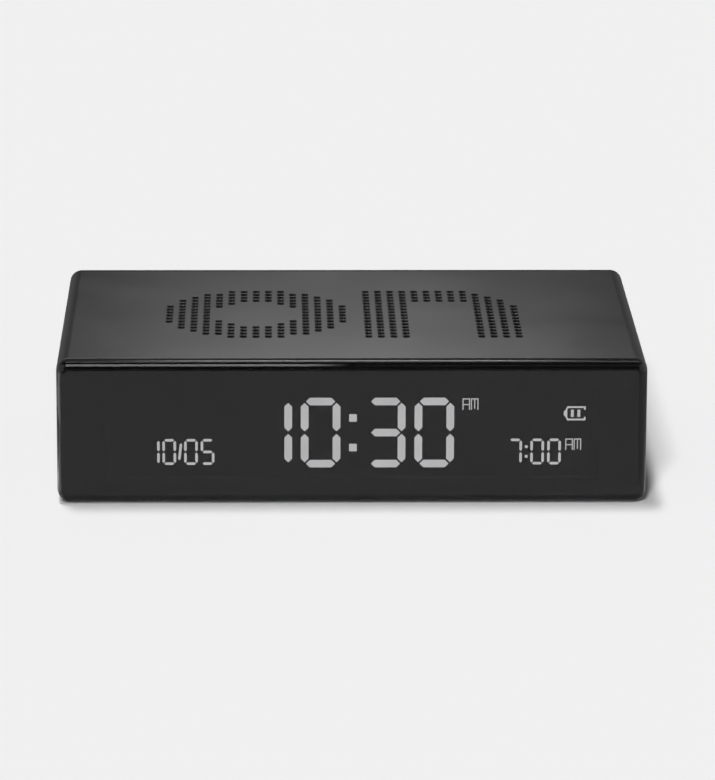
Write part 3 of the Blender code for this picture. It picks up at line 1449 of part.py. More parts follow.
def main():
    clear_scene()
    aluminium = make_material("graphite_aluminium", (0.10, 0.10, 0.105), 0.9, 0.4)
    smoked = make_material("smoked_acrylic", (0.012, 0.012, 0.013), 0.0, 0.06)
    black = make_material("black_plastic", (0.02, 0.02, 0.02), 0.0, 0.45)
    tray = make_material("tray_plastic", (0.07, 0.07, 0.075), 0.0, 0.5)
    foam = make_material("foam", (0.03, 0.03, 0.03), 0.0, 0.9)
    glass = make_material("display_glass", (0.03, 0.03, 0.035), 0.0, 0.1)
    film = make_material("diffuser_film", (0.85, 0.85, 0.85), 0.0, 0.5)
    clear = make_material("clear_acrylic", (0.8, 0.85, 0.9), 0.0, 0.1)
    white = make_material("white_film", (0.9, 0.9, 0.9), 0.0, 0.5)
    contact = make_material("contact_rubber", (0.4, 0.1, 0.15), 0.0, 0.6)
    board = make_material("green_board", (0.02, 0.14, 0.06), 0.0, 0.4)
    steel = make_material("steel", (0.55, 0.56, 0.58), 1.0, 0.35)
    brass = make_material("spring_brass", (0.7, 0.5, 0.2), 1.0, 0.35)
    silver = make_material("battery_foil", (0.6, 0.62, 0.65), 0.5, 0.4)
    magnet = make_material("magnet_steel", (0.3, 0.3, 0.32), 1.0, 0.4)
    paper = make_material("cone_paper", (0.05, 0.05, 0.05), 0.0, 0.8)
    rubber = make_material("surround_rubber", (0.02, 0.02, 0.02), 0.0, 0.7)
    lead = make_material("lead_rubber", (0.35, 0.03, 0.03), 0.0, 0.5)
    ribbon = make_material("ribbon_film", (0.75, 0.75, 0.72), 0.0, 0.5)

    make_sleeve(aluminium)
    make_lens(smoked)
    make_frame(foam, black)
    make_display(glass, film, clear, contact, board, white)
    make_frame_screws(steel)
    make_chassis(tray)
    make_battery(foam, silver)
    make_main_board(board, steel, steel, brass, steel)
    make_speaker(tray, magnet, paper, rubber, foam, steel)
    make_mesh_sheets(foam)
    make_rear_cover(black, steel)
    make_buttons(black, black, white, board, steel)
    make_socket(steel)
    make_leads(lead, ribbon)
    settle()


main()
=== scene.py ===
"""Looks of the reversible digital alarm clock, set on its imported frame. Metres, +Z up, front towards -Y."""

import json
import math

import bmesh
import bpy
from mathutils import Matrix, Vector


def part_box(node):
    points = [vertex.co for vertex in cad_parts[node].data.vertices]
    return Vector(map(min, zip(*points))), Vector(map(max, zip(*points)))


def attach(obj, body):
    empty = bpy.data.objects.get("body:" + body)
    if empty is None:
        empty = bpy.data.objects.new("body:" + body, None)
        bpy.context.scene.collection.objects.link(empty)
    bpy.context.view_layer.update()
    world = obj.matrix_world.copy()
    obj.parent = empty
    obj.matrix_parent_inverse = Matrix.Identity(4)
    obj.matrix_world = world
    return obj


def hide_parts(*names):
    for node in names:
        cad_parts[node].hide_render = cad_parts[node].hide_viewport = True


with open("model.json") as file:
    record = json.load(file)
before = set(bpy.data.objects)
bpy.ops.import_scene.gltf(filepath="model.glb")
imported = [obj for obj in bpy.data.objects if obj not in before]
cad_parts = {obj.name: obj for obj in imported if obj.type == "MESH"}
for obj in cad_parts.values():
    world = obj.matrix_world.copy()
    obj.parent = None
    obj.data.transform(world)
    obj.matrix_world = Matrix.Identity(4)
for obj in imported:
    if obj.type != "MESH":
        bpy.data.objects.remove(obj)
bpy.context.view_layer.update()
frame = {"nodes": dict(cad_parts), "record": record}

# Photograph and the camera worked out from it
PHOTO_WIDTH = 715
PHOTO_HEIGHT = 780
FOCAL_PIXELS = 4970
SENSOR = 36
CAMERA_PLACE = (-0.0228, -1.3503, 0.3744)
CAMERA_YAW = 1.07
CAMERA_PITCH = 14.785
CAMERA_ROLL = 0.211

# Fineness of round shapes
CORNER_STEPS = 14
ROLL_STEPS = 14
EDGE_STEPS = 3
HOLE_SIDES = 20
ROUND_SIDES = 64
SMOOTH_ANGLE = 32

# Body, from the frame
SLEEVE_LOW, SLEEVE_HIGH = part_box("sleeve")
LENS_LOW, LENS_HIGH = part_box("front_lens")
COVER_LOW, COVER_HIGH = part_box("rear_cover")
LCD_LOW, LCD_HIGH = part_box("lcd_panel")
CHASSIS_LOW, CHASSIS_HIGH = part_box("chassis")
BODY_WIDTH = SLEEVE_HIGH.x - SLEEVE_LOW.x
BODY_HEIGHT = SLEEVE_HIGH.z - SLEEVE_LOW.z
MID_Z = BODY_HEIGHT / 2
FRONT_Y = LENS_LOW.y
REAR_Y = COVER_HIGH.y
CORNER_RADIUS = 0.0035
SLEEVE_WALL = 0.0015
SLEEVE_EDGE = 0.00015
RAIL_REACH = 0.0020
RAIL_THICKNESS = 0.0015
GAP = 0.0003

# Perforations: a square grid of dots that spells the state of the alarm
DOT_PITCH = 0.00345
DOT_WIDTH = 0.00186
DOT_LENGTH = 0.00308
DOT_EDGE = 0.00012
DOT_ROWS = 16
DOT_CENTRE_X = -0.0019
DOT_CENTRE_Y = 0.0002
STROKE_COLUMNS = 4
STROKE_ROWS = 4
LETTER_CURVE = 2.0
LETTER_GAP = 1
TOP_WORD = (("o", 15), ("n", 13))
UNDERSIDE_WORD = (("o", 13), ("f", 8), ("f", 8))

# Front lens
LENS_THICKNESS = 0.0036
LENS_INSET = 0.00022
LENS_EDGE_RADIUS = 0.0024
LENS_REAR_EDGE = 0.0009
RIM_WALL = 0.0010
PRINT_OFFSET = 0.00001
PRINT_THICKNESS = 0.00005
PRINT_INSET = 0.00002
WINDOW_WIDTH = 0.1340
WINDOW_HEIGHT = 0.0270

# Display: sizes of the segments on the glass, and their left and lower edges
SEGMENT_DEPTH = 0.00008
BIG_WIDTH = 0.01078
BIG_HEIGHT = 0.0196
BIG_STROKE = 0.00212
BIG_GAP = 0.00036
BIG_LOW = 0.00875
BIG_DIGITS = (("1", -0.02697), ("0", -0.01385), ("3", 0.00383), ("0", 0.01705))
COLON_X = 0.00033
COLON_SIDE = 0.0021
COLON_TOP = 0.02268
COLON_LOW = 0.01435
SMALL_WIDTH = 0.00375
SMALL_HEIGHT = 0.00731
SMALL_STROKE = 0.00072
SMALL_GAP = 0.00019
SMALL_LOW = 0.00950
ALARM_DIGITS = (("7", 0.04262), ("0", 0.04862), ("0", 0.05322))
ALARM_COLON_X = 0.04752
ALARM_COLON_HEIGHTS = (0.01180, 0.01452)
ALARM_COLON_SIDE = 0.00078
DATE_DIGITS = (("1", -0.05591), ("0", -0.05146), ("0", -0.04556), ("5", -0.04106))
SLASH_LOW = (-0.04690, 0.01085)
SLASH_HIGH = (-0.04636, 0.01560)
LETTER_WIDTH = 0.00205
LETTER_HEIGHT = 0.00320
LETTER_STROKE = 0.00028
LETTER_PITCH = 0.00228
BIG_LETTERS_PLACE = (0.03006, 0.02493)
SMALL_LETTERS_PLACE = (0.05813, 0.01360)
BATTERY_PLACE = (0.05760, 0.02193)
BATTERY_WIDTH = 0.00595
BATTERY_HEIGHT = 0.00395
BATTERY_STROKE = 0.00048
BATTERY_BAR = 0.00080
SEGMENT_GLOW = 3.7
SEGMENTS_ON = {"0": "abcdef", "1": "bc", "3": "abcdg", "5": "acdfg", "7": "abc"}

# Rear cover, buttons and socket
BUTTONS = ("time_button", "alarm_button", "minus_button", "plus_button")
FLANGE_DEPTH = 0.0016
COVER_EDGE = 0.0006
LIP_EDGE = 0.0002
PANEL_RECESS = 0.0010
PANEL_MARGIN = 0.0050
PANEL_THICKNESS = 0.0020
PANEL_FILLET = 0.0004
PANEL_OUTSIDE = REAR_Y - PANEL_RECESS
PLUG_WALL = 0.0015
CUT_OVERRUN = 0.0012
RIM_CHAMFER = 0.0002
BUTTON_RADIUS = 0.0040
BUTTON_EDGE = 0.0006
BUTTON_COLLAR = 0.0009
BUTTON_STEM = 0.0016
BUTTON_DISH = 0.0004
MARK_SIZE = 0.0015
MARK_STROKE = 0.00034
MARK_THICKNESS = 0.00004
HEAD_DEPTH = 0.0014
SOCKET_HALF = 0.0007
SOCKET_DEPTH = 0.0009
PORT_WALL = 0.0003
PORT_EDGE = 0.0001
PORT_FLOOR = 0.0010
PORT_TONGUE_STEP = 0.0008
PORT_CONTACTS = 12
TONGUE_WIDTH = 0.0062
TONGUE_THICKNESS = 0.0007
CONTACT_WIDTH = 0.00026
CONTACT_RISE = 0.00004

# Studio
FLOOR_SIZE = 8.0
BACKGROUND = 0.871
SKY_SHARE = 0.10
KEY_SHARE = 0.52
KEY_SUNS = 4
KEY_SLOPE_X = 0.11
KEY_SLOPE_Y = -0.27
KEY_ANGLE = 7
FILL_SLOPE_X = 0.26
FILL_SLOPE_Y = 1.2
FILL_ANGLE = 9


def link_object(name, data):
    made = bpy.data.objects.new(name, data)
    bpy.context.scene.collection.objects.link(made)
    return made


def add_piece(name, bm, material, body="case", stands_for=(), even_normals=True):
    """The mesh as a piece that rides on a body, smooth but for its sharp edges."""
    bmesh.ops.recalc_face_normals(bm, faces=bm.faces)
    mesh = bpy.data.meshes.new(name)
    bm.to_mesh(mesh)
    bm.free()
    mesh.shade_smooth()
    mesh.set_sharp_from_angle(angle=math.radians(SMOOTH_ANGLE))
    mesh.materials.append(material)
    piece = link_object(name, mesh)
    if even_normals:
        normals = piece.modifiers.new("normals", "WEIGHTED_NORMAL")
        normals.keep_sharp = True
        normals.weight = 50
    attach(piece, body)
    if stands_for:
        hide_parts(*stands_for)
    return piece


def rounded_loop(width, height, radius, y, centre_x=0, centre_z=None, steps=CORNER_STEPS):
    """Points of a rounded rectangle in the plane at y."""
    centre_z = MID_Z if centre_z is None else centre_z
    points = []
    for corner, (side_x, side_z) in enumerate(((1, 1), (-1, 1), (-1, -1), (1, -1))):
        for step in range(steps + 1):
            angle = math.pi / 2 * (corner + step / steps)
            x = centre_x + side_x * (width / 2 - radius) + radius * math.cos(angle)
            z = centre_z + side_z * (height / 2 - radius) + radius * math.sin(angle)
            points.append(Vector((x, y, z)))
    return points


def body_loop(y, inset, radius=None):
    """A loop that follows the body's outline, drawn in by inset."""
    radius = max(CORNER_RADIUS - inset, GAP) if radius is None else radius
    return rounded_loop(BODY_WIDTH - 2 * inset, BODY_HEIGHT - 2 * inset, radius, y)


def skin(loops, bm=None, ring=False):
    """Faces between loops of equal length, closed with caps, or into a ring."""
    bm = bm or bmesh.new()
    rows = [[bm.verts.new(point) for point in loop] for loop in loops]
    following = rows[1:] + rows[:1] if ring else rows[1:]
    for row, after in zip(rows, following):
        for index in range(len(row)):
            ahead = (index + 1) % len(row)
            bm.faces.new((row[index], row[ahead], after[ahead], after[index]))
    if not ring:
        bm.faces.new(rows[0])
        bm.faces.new(rows[-1])
    return bm


def box(bm, low, high):
    low = Vector(low)
    high = Vector(high)
    place = Matrix.Translation((low + high) / 2) @ Matrix.Diagonal((*(high - low), 1))
    bmesh.ops.create_cube(bm, size=1, matrix=place)


def prism(bm, outline, front, rear):
    """A flat shape given by (x, z) points, between two planes across Y."""
    skin([[Vector((x, y, z)) for x, z in outline] for y in (front, rear)], bm)


# Word of dots

def in_round(u, v):
    return abs(u) ** LETTER_CURVE + abs(v) ** LETTER_CURVE <= 1


def dot_in_letter(letter, column, row, columns):
    """Whether a letter has a dot at this column from its left and row from its foot."""
    u = 2 * (column + 0.5) / columns - 1
    v = 2 * (row + 0.5) / DOT_ROWS - 1
    if letter == "o":
        inner_u = u * columns / (columns - 2 * STROKE_COLUMNS)
        inner_v = v * DOT_ROWS / (DOT_ROWS - 2 * STROKE_ROWS)
        return in_round(u, v) and not in_round(inner_u, inner_v)
    if letter == "n":
        arch = v > 0 and in_round(u, v)
        hollow = STROKE_COLUMNS <= column < columns - STROKE_COLUMNS and row < DOT_ROWS - STROKE_ROWS
        return (column < STROKE_COLUMNS or v <= 0 or arch) and not hollow
    stem = 2
    thick = STROKE_COLUMNS - 1
    hook = row >= DOT_ROWS - thick and column >= stem + 1
    bar = abs(row - DOT_ROWS * 5 // 8) <= 1 and column < columns - 1
    return stem <= column < stem + thick and row < DOT_ROWS - 1 or hook or bar


def word_dots(word):
    """The (column, row) places of a word's dots, and its number of columns."""
    places = set()
    start = 0
    for letter, columns in word:
        for column in range(columns):
            for row in range(DOT_ROWS):
                if dot_in_letter(letter, column, row, columns):
                    places.add((start + column, row))
        start += columns + LETTER_GAP
    return places, start - LETTER_GAP


def grid_lines(count, centre):
    return [centre + DOT_PITCH * (index - count / 2) for index in range(count + 1)]


def make_sleeve(material):
    """The aluminium tube with real perforations through both large faces, and its inner rails."""
    top_dots, top_columns = word_dots(TOP_WORD)
    low_dots, low_columns = word_dots(UNDERSIDE_WORD)
    top_lines = grid_lines(top_columns, DOT_CENTRE_X)
    low_lines = grid_lines(low_columns, DOT_CENTRE_X)
    row_lines = grid_lines(DOT_ROWS, DOT_CENTRE_Y)

    def section(inset):
        """The tube's outline from its upper right corner round, with a point at each grid line."""
        half = BODY_WIDTH / 2 - inset
        radius = CORNER_RADIUS - inset
        points = []
        corners = ((1, BODY_HEIGHT), (-1, BODY_HEIGHT), (-1, 0), (1, 0))
        for corner, (side, edge) in enumerate(corners):
            centre_x = side * (half - radius)
            centre_z = edge - inset - radius if edge else inset + radius
            for step in range(CORNER_STEPS + 1):
                angle = math.pi / 2 * (corner + step / CORNER_STEPS)
                points.append((centre_x + radius * math.cos(angle), centre_z + radius * math.sin(angle)))
            if corner == 0:
                points += [(x, BODY_HEIGHT - inset) for x in reversed(top_lines)]
            if corner == 2:
                points += [(x, inset) for x in low_lines]
        return points

    front = SLEEVE_LOW.y
    rear = SLEEVE_HIGH.y
    edge_stations = []
    for step in range(EDGE_STEPS + 1):
        angle = math.pi / 2 * step / EDGE_STEPS
        edge_stations.append((SLEEVE_EDGE * (1 - math.sin(angle)), SLEEVE_EDGE * (1 - math.cos(angle))))
    stations = [(front + along, inset) for inset, along in edge_stations]
    stations += [(y, 0) for y in row_lines]
    stations += [(rear - along, inset) for inset, along in reversed(edge_stations)]

    bm = bmesh.new()
    outer = [[bm.verts.new((x, y, z)) for x, z in section(inset)] for y, inset in stations]
    inner = [[bm.verts.new((x, y, z)) for x, z in section(SLEEVE_WALL)] for y, _ in stations]
    first_row = EDGE_STEPS + 1
    top_start = CORNER_STEPS + 1
    low_start = 3 * (CORNER_STEPS + 1) + top_columns + 1
    count = len(outer[0])

    def dotted(station, index):
        """The dot of this cell of the section, as its place in the word, or None."""
        row = station - first_row
        if not 0 <= row < DOT_ROWS:
            return False
        from_right = index - top_start
        if 0 <= from_right < top_columns:
            return (top_columns - 1 - from_right, row) in top_dots
        from_left = index - low_start
        if 0 <= from_left < low_columns:
            return (low_columns - 1 - from_left, row) in low_dots
        return False

    for station in range(len(stations) - 1):
        for index in range(count):
            ahead = (index + 1) % count
            cells = [
                (shell[station][index], shell[station][ahead], shell[station + 1][ahead], shell[station + 1][index])
                for shell in (outer, inner)
            ]
            if dotted(station, index):
                pierce(bm, *cells)
            else:
                for cell in cells:
                    bm.faces.new(cell)
    for station in (0, -1):
        for index in range(count):
            ahead = (index + 1) % count
            bm.faces.new((outer[station][index], outer[station][ahead], inner[station][ahead], inner[station][index]))
    add_rails(bm)
    return add_piece("perforated_sleeve", bm, material, stands_for=("sleeve",))


def pierce(bm, outer_cell, inner_cell):
    """A hole through the wall between two square cells, with a small bevel at its outer rim."""
    sides_per_edge = HOLE_SIDES // 4
    surface_z = outer_cell[0].co.z
    inside_z = inner_cell[0].co.z
    inward = 1 if inside_z > surface_z else -1
    centre = sum((corner.co for corner in outer_cell), Vector()) / 4

    def oblong(margin, z):
        """A loop with round ends along Y, wider than the hole by a margin."""
        radius = DOT_WIDTH / 2 + margin
        points = []
        for step in range(HOLE_SIDES):
            angle = 2 * math.pi * (step + 0.5) / HOLE_SIDES
            shift = math.copysign((DOT_LENGTH - DOT_WIDTH) / 2, math.sin(angle))
            points.append(bm.verts.new((
                centre.x + radius * math.cos(angle),
                centre.y + radius * math.sin(angle) + shift,
                z,
            )))
        return points

    def surround(cell, rim):
        """Faces between a square cell and the hole's rim."""
        for index in range(4):
            corner = cell[index]
            ahead = cell[(index + 1) % 4]
            start = corner_step(corner)
            end = corner_step(ahead)
            turn = 1 if (end - start) % HOLE_SIDES == sides_per_edge else -1
            arc = [rim[(start + turn * step) % HOLE_SIDES] for step in range(sides_per_edge + 1)]
            bm.faces.new([corner, *arc, ahead])

    def corner_step(corner):
        angle = math.atan2(corner.co.y - centre.y, corner.co.x - centre.x)
        return round(angle / (2 * math.pi) * HOLE_SIDES - 0.5) % HOLE_SIDES

    rim = oblong(DOT_EDGE, surface_z)
    mouth = oblong(0, surface_z + inward * DOT_EDGE)
    end = oblong(0, inside_z)
    surround(outer_cell, rim)
    surround(inner_cell, end)
    for upper, lower in ((rim, mouth), (mouth, end)):
        for index in range(HOLE_SIDES):
            ahead = (index + 1) % HOLE_SIDES
            bm.faces.new((upper[index], upper[ahead], lower[ahead], lower[index]))


def add_rails(bm):
    """The two pairs of rails that hold the tray, just clear of it."""
    inner_half = BODY_WIDTH / 2 - SLEEVE_WALL
    plate_low = CHASSIS_LOW.z
    plate_high = plate_low + 0.0020
    for side in (-1, 1):
        edges = sorted((side * (inner_half - RAIL_REACH), side * inner_half))
        for low in (plate_low - GAP - RAIL_THICKNESS, plate_high + GAP):
            box(bm, (edges[0], CHASSIS_LOW.y, low), (edges[1], CHASSIS_HIGH.y, low + RAIL_THICKNESS))


# Front lens and its printed border

def make_lens(material):
    """The smoked panel: rolled front edge, small rear edge, and the rim that locates in the sleeve."""
    back = FRONT_Y + LENS_THICKNESS
    loops = []
    for step in range(ROLL_STEPS + 1):
        angle = math.pi / 2 * (1 - step / ROLL_STEPS)
        inset = LENS_INSET + LENS_EDGE_RADIUS * (1 - math.cos(angle))
        loops.append(body_loop(FRONT_Y + LENS_EDGE_RADIUS * (1 - math.sin(angle)), inset))
    for step in range(EDGE_STEPS + 1):
        angle = math.pi / 2 * step / EDGE_STEPS
        inset = LENS_INSET + LENS_REAR_EDGE * (1 - math.cos(angle))
        loops.append(body_loop(back - LENS_REAR_EDGE * (1 - math.sin(angle)), inset))
    rim_outer = SLEEVE_WALL + GAP
    rim_inner = rim_outer + RIM_WALL
    loops.append(body_loop(back, rim_outer))
    loops.append(body_loop(LENS_HIGH.y, rim_outer))
    loops.append(body_loop(LENS_HIGH.y, rim_inner))
    loops.append(body_loop(back, rim_inner))
    return add_piece("smoked_front_panel", skin(loops), material, stands_for=("front_lens",))


def make_print(material):
    """Black coat behind the lens and round its rim, open at the display's window."""
    rim_outer = SLEEVE_WALL + GAP
    rim_inner = rim_outer + RIM_WALL

    def coat(depth):
        """Loops of the coat's surface at this depth behind the lens, from the window out to the edge."""
        back = FRONT_Y + LENS_THICKNESS + depth
        end = LENS_HIGH.y + depth
        places = [(rim_inner + depth, back), (rim_inner + depth, end), (rim_outer - depth, end)]
        places += [(rim_outer - depth, back), (LENS_INSET + LENS_REAR_EDGE + PRINT_INSET, back)]
        window = rounded_loop(WINDOW_WIDTH, WINDOW_HEIGHT, GAP, back)
        return [window] + [body_loop(y, inset) for inset, y in places]

    loops = coat(PRINT_OFFSET) + coat(PRINT_OFFSET + PRINT_THICKNESS)[::-1]
    bm = skin(loops, ring=True)
    return add_piece("lens_border_print", bm, material, even_normals=False)


# Display segments

def bar(bm, start, end, stroke, gap):
    """A six-sided segment between two points, pointed at both ends."""
    start = Vector(start)
    end = Vector(end)
    along = (end - start).normalized()
    across = Vector((-along.y, along.x)) * stroke / 2
    shoulder = along * stroke / 2
    tip = start + along * gap
    far_tip = end - along * gap
    outline = [tip, tip + shoulder - across, far_tip - shoulder - across]
    outline += [far_tip, far_tip - shoulder + across, tip + shoulder + across]
    prism(bm, outline, LCD_LOW.y - SEGMENT_DEPTH, LCD_LOW.y)


def digit(bm, character, left, low, width, height, stroke, gap):
    """A seven-segment digit."""
    x0 = left + stroke / 2
    x1 = left + width - stroke / 2
    z0 = low + stroke / 2
    z2 = low + height - stroke / 2
    z1 = (z0 + z2) / 2
    ends = {
        "a": ((x0, z2), (x1, z2)),
        "b": ((x1, z1), (x1, z2)),
        "c": ((x1, z0), (x1, z1)),
        "d": ((x0, z0), (x1, z0)),
        "e": ((x0, z0), (x0, z1)),
        "f": ((x0, z1), (x0, z2)),
        "g": ((x0, z1), (x1, z1)),
    }
    for segment in SEGMENTS_ON[character]:
        bar(bm, *ends[segment], stroke, gap)


def block(bm, low, high):
    prism(bm, [low, (high[0], low[1]), high, (low[0], high[1])], LCD_LOW.y - SEGMENT_DEPTH, LCD_LOW.y)


def square(bm, centre_x, centre_z, side):
    block(bm, (centre_x - side / 2, centre_z - side / 2), (centre_x + side / 2, centre_z + side / 2))


def half_day_letters(bm, place):
    """The letters A and M in short bars."""
    left, low = place
    high = low + LETTER_HEIGHT
    right = left + LETTER_WIDTH
    stroke = LETTER_STROKE
    middle = low + LETTER_HEIGHT * 0.46
    block(bm, (left, low), (left + stroke, high))
    block(bm, (right - stroke, low), (right, high))
    block(bm, (left + stroke, high - stroke), (right - stroke, high))
    block(bm, (left + stroke, middle - stroke / 2), (right - stroke, middle + stroke / 2))
    left += LETTER_PITCH
    right += LETTER_PITCH
    centre = (left + right) / 2
    block(bm, (left, low), (left + stroke, high))
    block(bm, (right - stroke, low), (right, high))
    block(bm, (left + stroke, high - stroke), (right - stroke, high))
    block(bm, (centre - stroke / 2, low + stroke), (centre + stroke / 2, high - stroke))


def battery_symbol(bm):
    """A battery: cap at the left, two charge bars, and a case that is open at the right."""
    left, low = BATTERY_PLACE
    high = low + BATTERY_HEIGHT
    right = left + BATTERY_WIDTH
    stroke = BATTERY_STROKE
    middle = (low + high) / 2
    cap = left + 2 * stroke
    front, rear = LCD_LOW.y - SEGMENT_DEPTH, LCD_LOW.y
    reach = BATTERY_HEIGHT / 4
    chevron = [(left, middle - reach / 2), (left + stroke, middle - reach), (cap, low), (cap + stroke, low)]
    chevron += [(cap, middle - reach), (cap, middle + reach), (cap + stroke, high), (cap, high)]
    chevron += [(left + stroke, middle + reach), (left, middle + reach / 2)]
    prism(bm, chevron, front, rear)
    block(bm, (cap, high - stroke), (right, high))
    block(bm, (cap, low), (right, low + stroke))
    block(bm, (right - stroke, high - stroke - reach / 2), (right, high - stroke))
    block(bm, (right - stroke, low + stroke), (right, low + stroke + reach / 2))
    space = (right - stroke - cap - 2 * BATTERY_BAR) / 3
    for index in range(2):
        x = cap + space + index * (BATTERY_BAR + space)
        block(bm, (x, low + 2 * stroke), (x + BATTERY_BAR, high - 2 * stroke))


def make_segments(material):
    """Every lit segment of the display, lying on the front of its glass."""
    bm = bmesh.new()
    for character, left in BIG_DIGITS:
        digit(bm, character, left, BIG_LOW, BIG_WIDTH, BIG_HEIGHT, BIG_STROKE, BIG_GAP)
    for z in (COLON_TOP, COLON_LOW):
        square(bm, COLON_X, z, COLON_SIDE)
    for character, left in ALARM_DIGITS + DATE_DIGITS:
        digit(bm, character, left, SMALL_LOW, SMALL_WIDTH, SMALL_HEIGHT, SMALL_STROKE, SMALL_GAP)
    for z in ALARM_COLON_HEIGHTS:
        square(bm, ALARM_COLON_X, z, ALARM_COLON_SIDE)
    bar(bm, SLASH_LOW, SLASH_HIGH, SMALL_STROKE, 0)
    half_day_letters(bm, BIG_LETTERS_PLACE)
    half_day_letters(bm, SMALL_LETTERS_PLACE)
    battery_symbol(bm)
    return add_piece("display_segments", bm, material, even_normals=False)


# Rear side

def carve(piece, bm):
    """Cuts a closed mesh out of a piece."""
    bmesh.ops.recalc_face_normals(bm, faces=bm.faces)
    mesh = bpy.data.meshes.new("cutter")
    bm.to_mesh(mesh)
    bm.free()
    cutter = link_object("cutter", mesh)
    modifier = piece.modifiers.new("carve", "BOOLEAN")
    modifier.object = cutter
    bpy.context.view_layer.update()
    whole = piece.evaluated_get(bpy.context.evaluated_depsgraph_get())
    carved = bpy.data.meshes.new_from_object(whole)
    piece.modifiers.remove(modifier)
    piece.data = carved
    bpy.data.objects.remove(cutter)


def turned(bm, profile, centre_x, centre_z, sides=ROUND_SIDES):
    """A closed solid turned about an axis along Y; the profile is (radius, y) and has no point on the axis."""
    loops = []
    for radius, y in profile:
        angles = [2 * math.pi * side / sides for side in range(sides)]
        loops.append([Vector((centre_x + radius * math.cos(a), y, centre_z + radius * math.sin(a))) for a in angles])
    return skin(loops, bm)


def rounding(outer_radius, face_y, edge):
    """Profile points of a rounded rim that ends on a face at face_y."""
    points = []
    for step in range(EDGE_STEPS * 2 + 1):
        angle = math.pi / 2 * step / (EDGE_STEPS * 2)
        points.append((outer_radius - edge * (1 - math.cos(angle)), face_y - edge * (1 - math.sin(angle))))
    return points


def make_cover(material):
    """The rear cover: rounded flange, recessed panel with softened openings, and the plug inside the sleeve."""
    plug_outer = SLEEVE_WALL + GAP
    plug_inner = plug_outer + PLUG_WALL
    flange_front = REAR_Y - FLANGE_DEPTH
    recess = (BODY_WIDTH - 2 * PANEL_MARGIN, BODY_HEIGHT - 2 * PANEL_MARGIN)
    radius = CORNER_RADIUS - SLEEVE_WALL
    loops = [rounded_loop(recess[0] - 2 * fillet, recess[1] - 2 * fillet, radius - fillet, PANEL_OUTSIDE + rise)
             for fillet, rise in ((PANEL_FILLET, 0), (0, PANEL_FILLET))]
    loops.append(rounded_loop(*recess, radius, REAR_Y - LIP_EDGE))
    loops.append(rounded_loop(recess[0] + 2 * LIP_EDGE, recess[1] + 2 * LIP_EDGE, radius + LIP_EDGE, REAR_Y))
    for step in range(EDGE_STEPS * 2 + 1):
        angle = math.pi / 2 * (1 - step / (EDGE_STEPS * 2))
        loops.append(body_loop(REAR_Y - COVER_EDGE * (1 - math.sin(angle)), COVER_EDGE * (1 - math.cos(angle))))
    loops.append(body_loop(flange_front, 0))
    loops.append(body_loop(flange_front, plug_outer))
    loops.append(body_loop(COVER_LOW.y, plug_outer))
    loops.append(body_loop(COVER_LOW.y, plug_inner))
    loops.append(body_loop(PANEL_OUTSIDE - PANEL_THICKNESS, plug_inner))
    cover = add_piece("rear_cover_moulding", skin(loops), material, stands_for=("rear_cover",))

    cuts = bmesh.new()
    through = (PANEL_OUTSIDE - PANEL_THICKNESS - CUT_OVERRUN, PANEL_OUTSIDE + CUT_OVERRUN)
    for name in BUTTONS:
        low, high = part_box(name)
        hole = BUTTON_RADIUS + GAP
        flare = [(hole, through[0]), (hole, PANEL_OUTSIDE - RIM_CHAMFER), (hole + RIM_CHAMFER, PANEL_OUTSIDE)]
        turned(cuts, flare + [(hole + RIM_CHAMFER, through[1])], (low.x + high.x) / 2, MID_Z)
    for number in range(1, 5):
        low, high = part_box(f"cover_screw_{number}")
        head = (high.x - low.x) / 2 + GAP
        seat = [(head - HEAD_DEPTH, through[0]), (head - HEAD_DEPTH, PANEL_OUTSIDE - HEAD_DEPTH - GAP)]
        seat += [(head, PANEL_OUTSIDE - GAP), (head, through[1])]
        turned(cuts, seat, (low.x + high.x) / 2, (low.z + high.z) / 2)
    low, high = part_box("usb_socket")
    for margin, front, rear in ((GAP, through[0], through[1]), (GAP + RIM_CHAMFER, PANEL_OUTSIDE - RIM_CHAMFER / 2, through[1])):
        size = (high.x - low.x + 2 * margin, high.z - low.z + 2 * margin)
        skin([rounded_loop(*size, size[1] / 2.01, y) for y in (front, rear)], cuts)
    carve(cover, cuts)
    return cover


def dish_y(x, z):
    """Height of a button's dished face at a place measured from the button's centre."""
    out = min(1, math.hypot(x, z) / (BUTTON_RADIUS - BUTTON_EDGE))
    return -BUTTON_DISH * (1 - out ** 2)


def make_button(name, material):
    """A push button with a rounded rim and a dished face, on its collar and stem."""
    low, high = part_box(name)
    centre_x = (low.x + high.x) / 2
    collar_radius = (high.x - low.x) / 2
    collar_rear = PANEL_OUTSIDE - PANEL_THICKNESS - GAP
    profile = [(BUTTON_STEM, low.y), (BUTTON_STEM, collar_rear - BUTTON_COLLAR)]
    profile += [(collar_radius, collar_rear - BUTTON_COLLAR), (collar_radius, collar_rear), (BUTTON_RADIUS, collar_rear)]
    profile += rounding(BUTTON_RADIUS, high.y, BUTTON_EDGE)
    for share in (0.8, 0.6, 0.4, 0.2, 0.05):
        radius = (BUTTON_RADIUS - BUTTON_EDGE) * share
        profile.append((radius, high.y + dish_y(radius, 0)))
    bm = turned(None, profile, centre_x, MID_Z)
    return add_piece(f"{name}_cap", bm, material, body=name, stands_for=(name,))


def mark_line(bm, button_place, points):
    """A printed line that follows a button's dished face through (x, z) points, as seen from the rear."""
    centre_x, face_y = button_place
    for start, end in zip(points, points[1:]):
        start, end = Vector(start), Vector(end)
        along = (end - start).normalized() * MARK_STROKE / 2
        across = Vector((-along.y, along.x))
        start = start - along * 0.6
        end = end + along * 0.6
        corners = (start - across, start + across, end + across, end - across)
        loops = []
        for rise in (0, MARK_THICKNESS):
            loops.append([Vector((centre_x - c.x, face_y + dish_y(c.x, c.y) + rise, MID_Z + c.y)) for c in corners])
        skin(loops, bm)


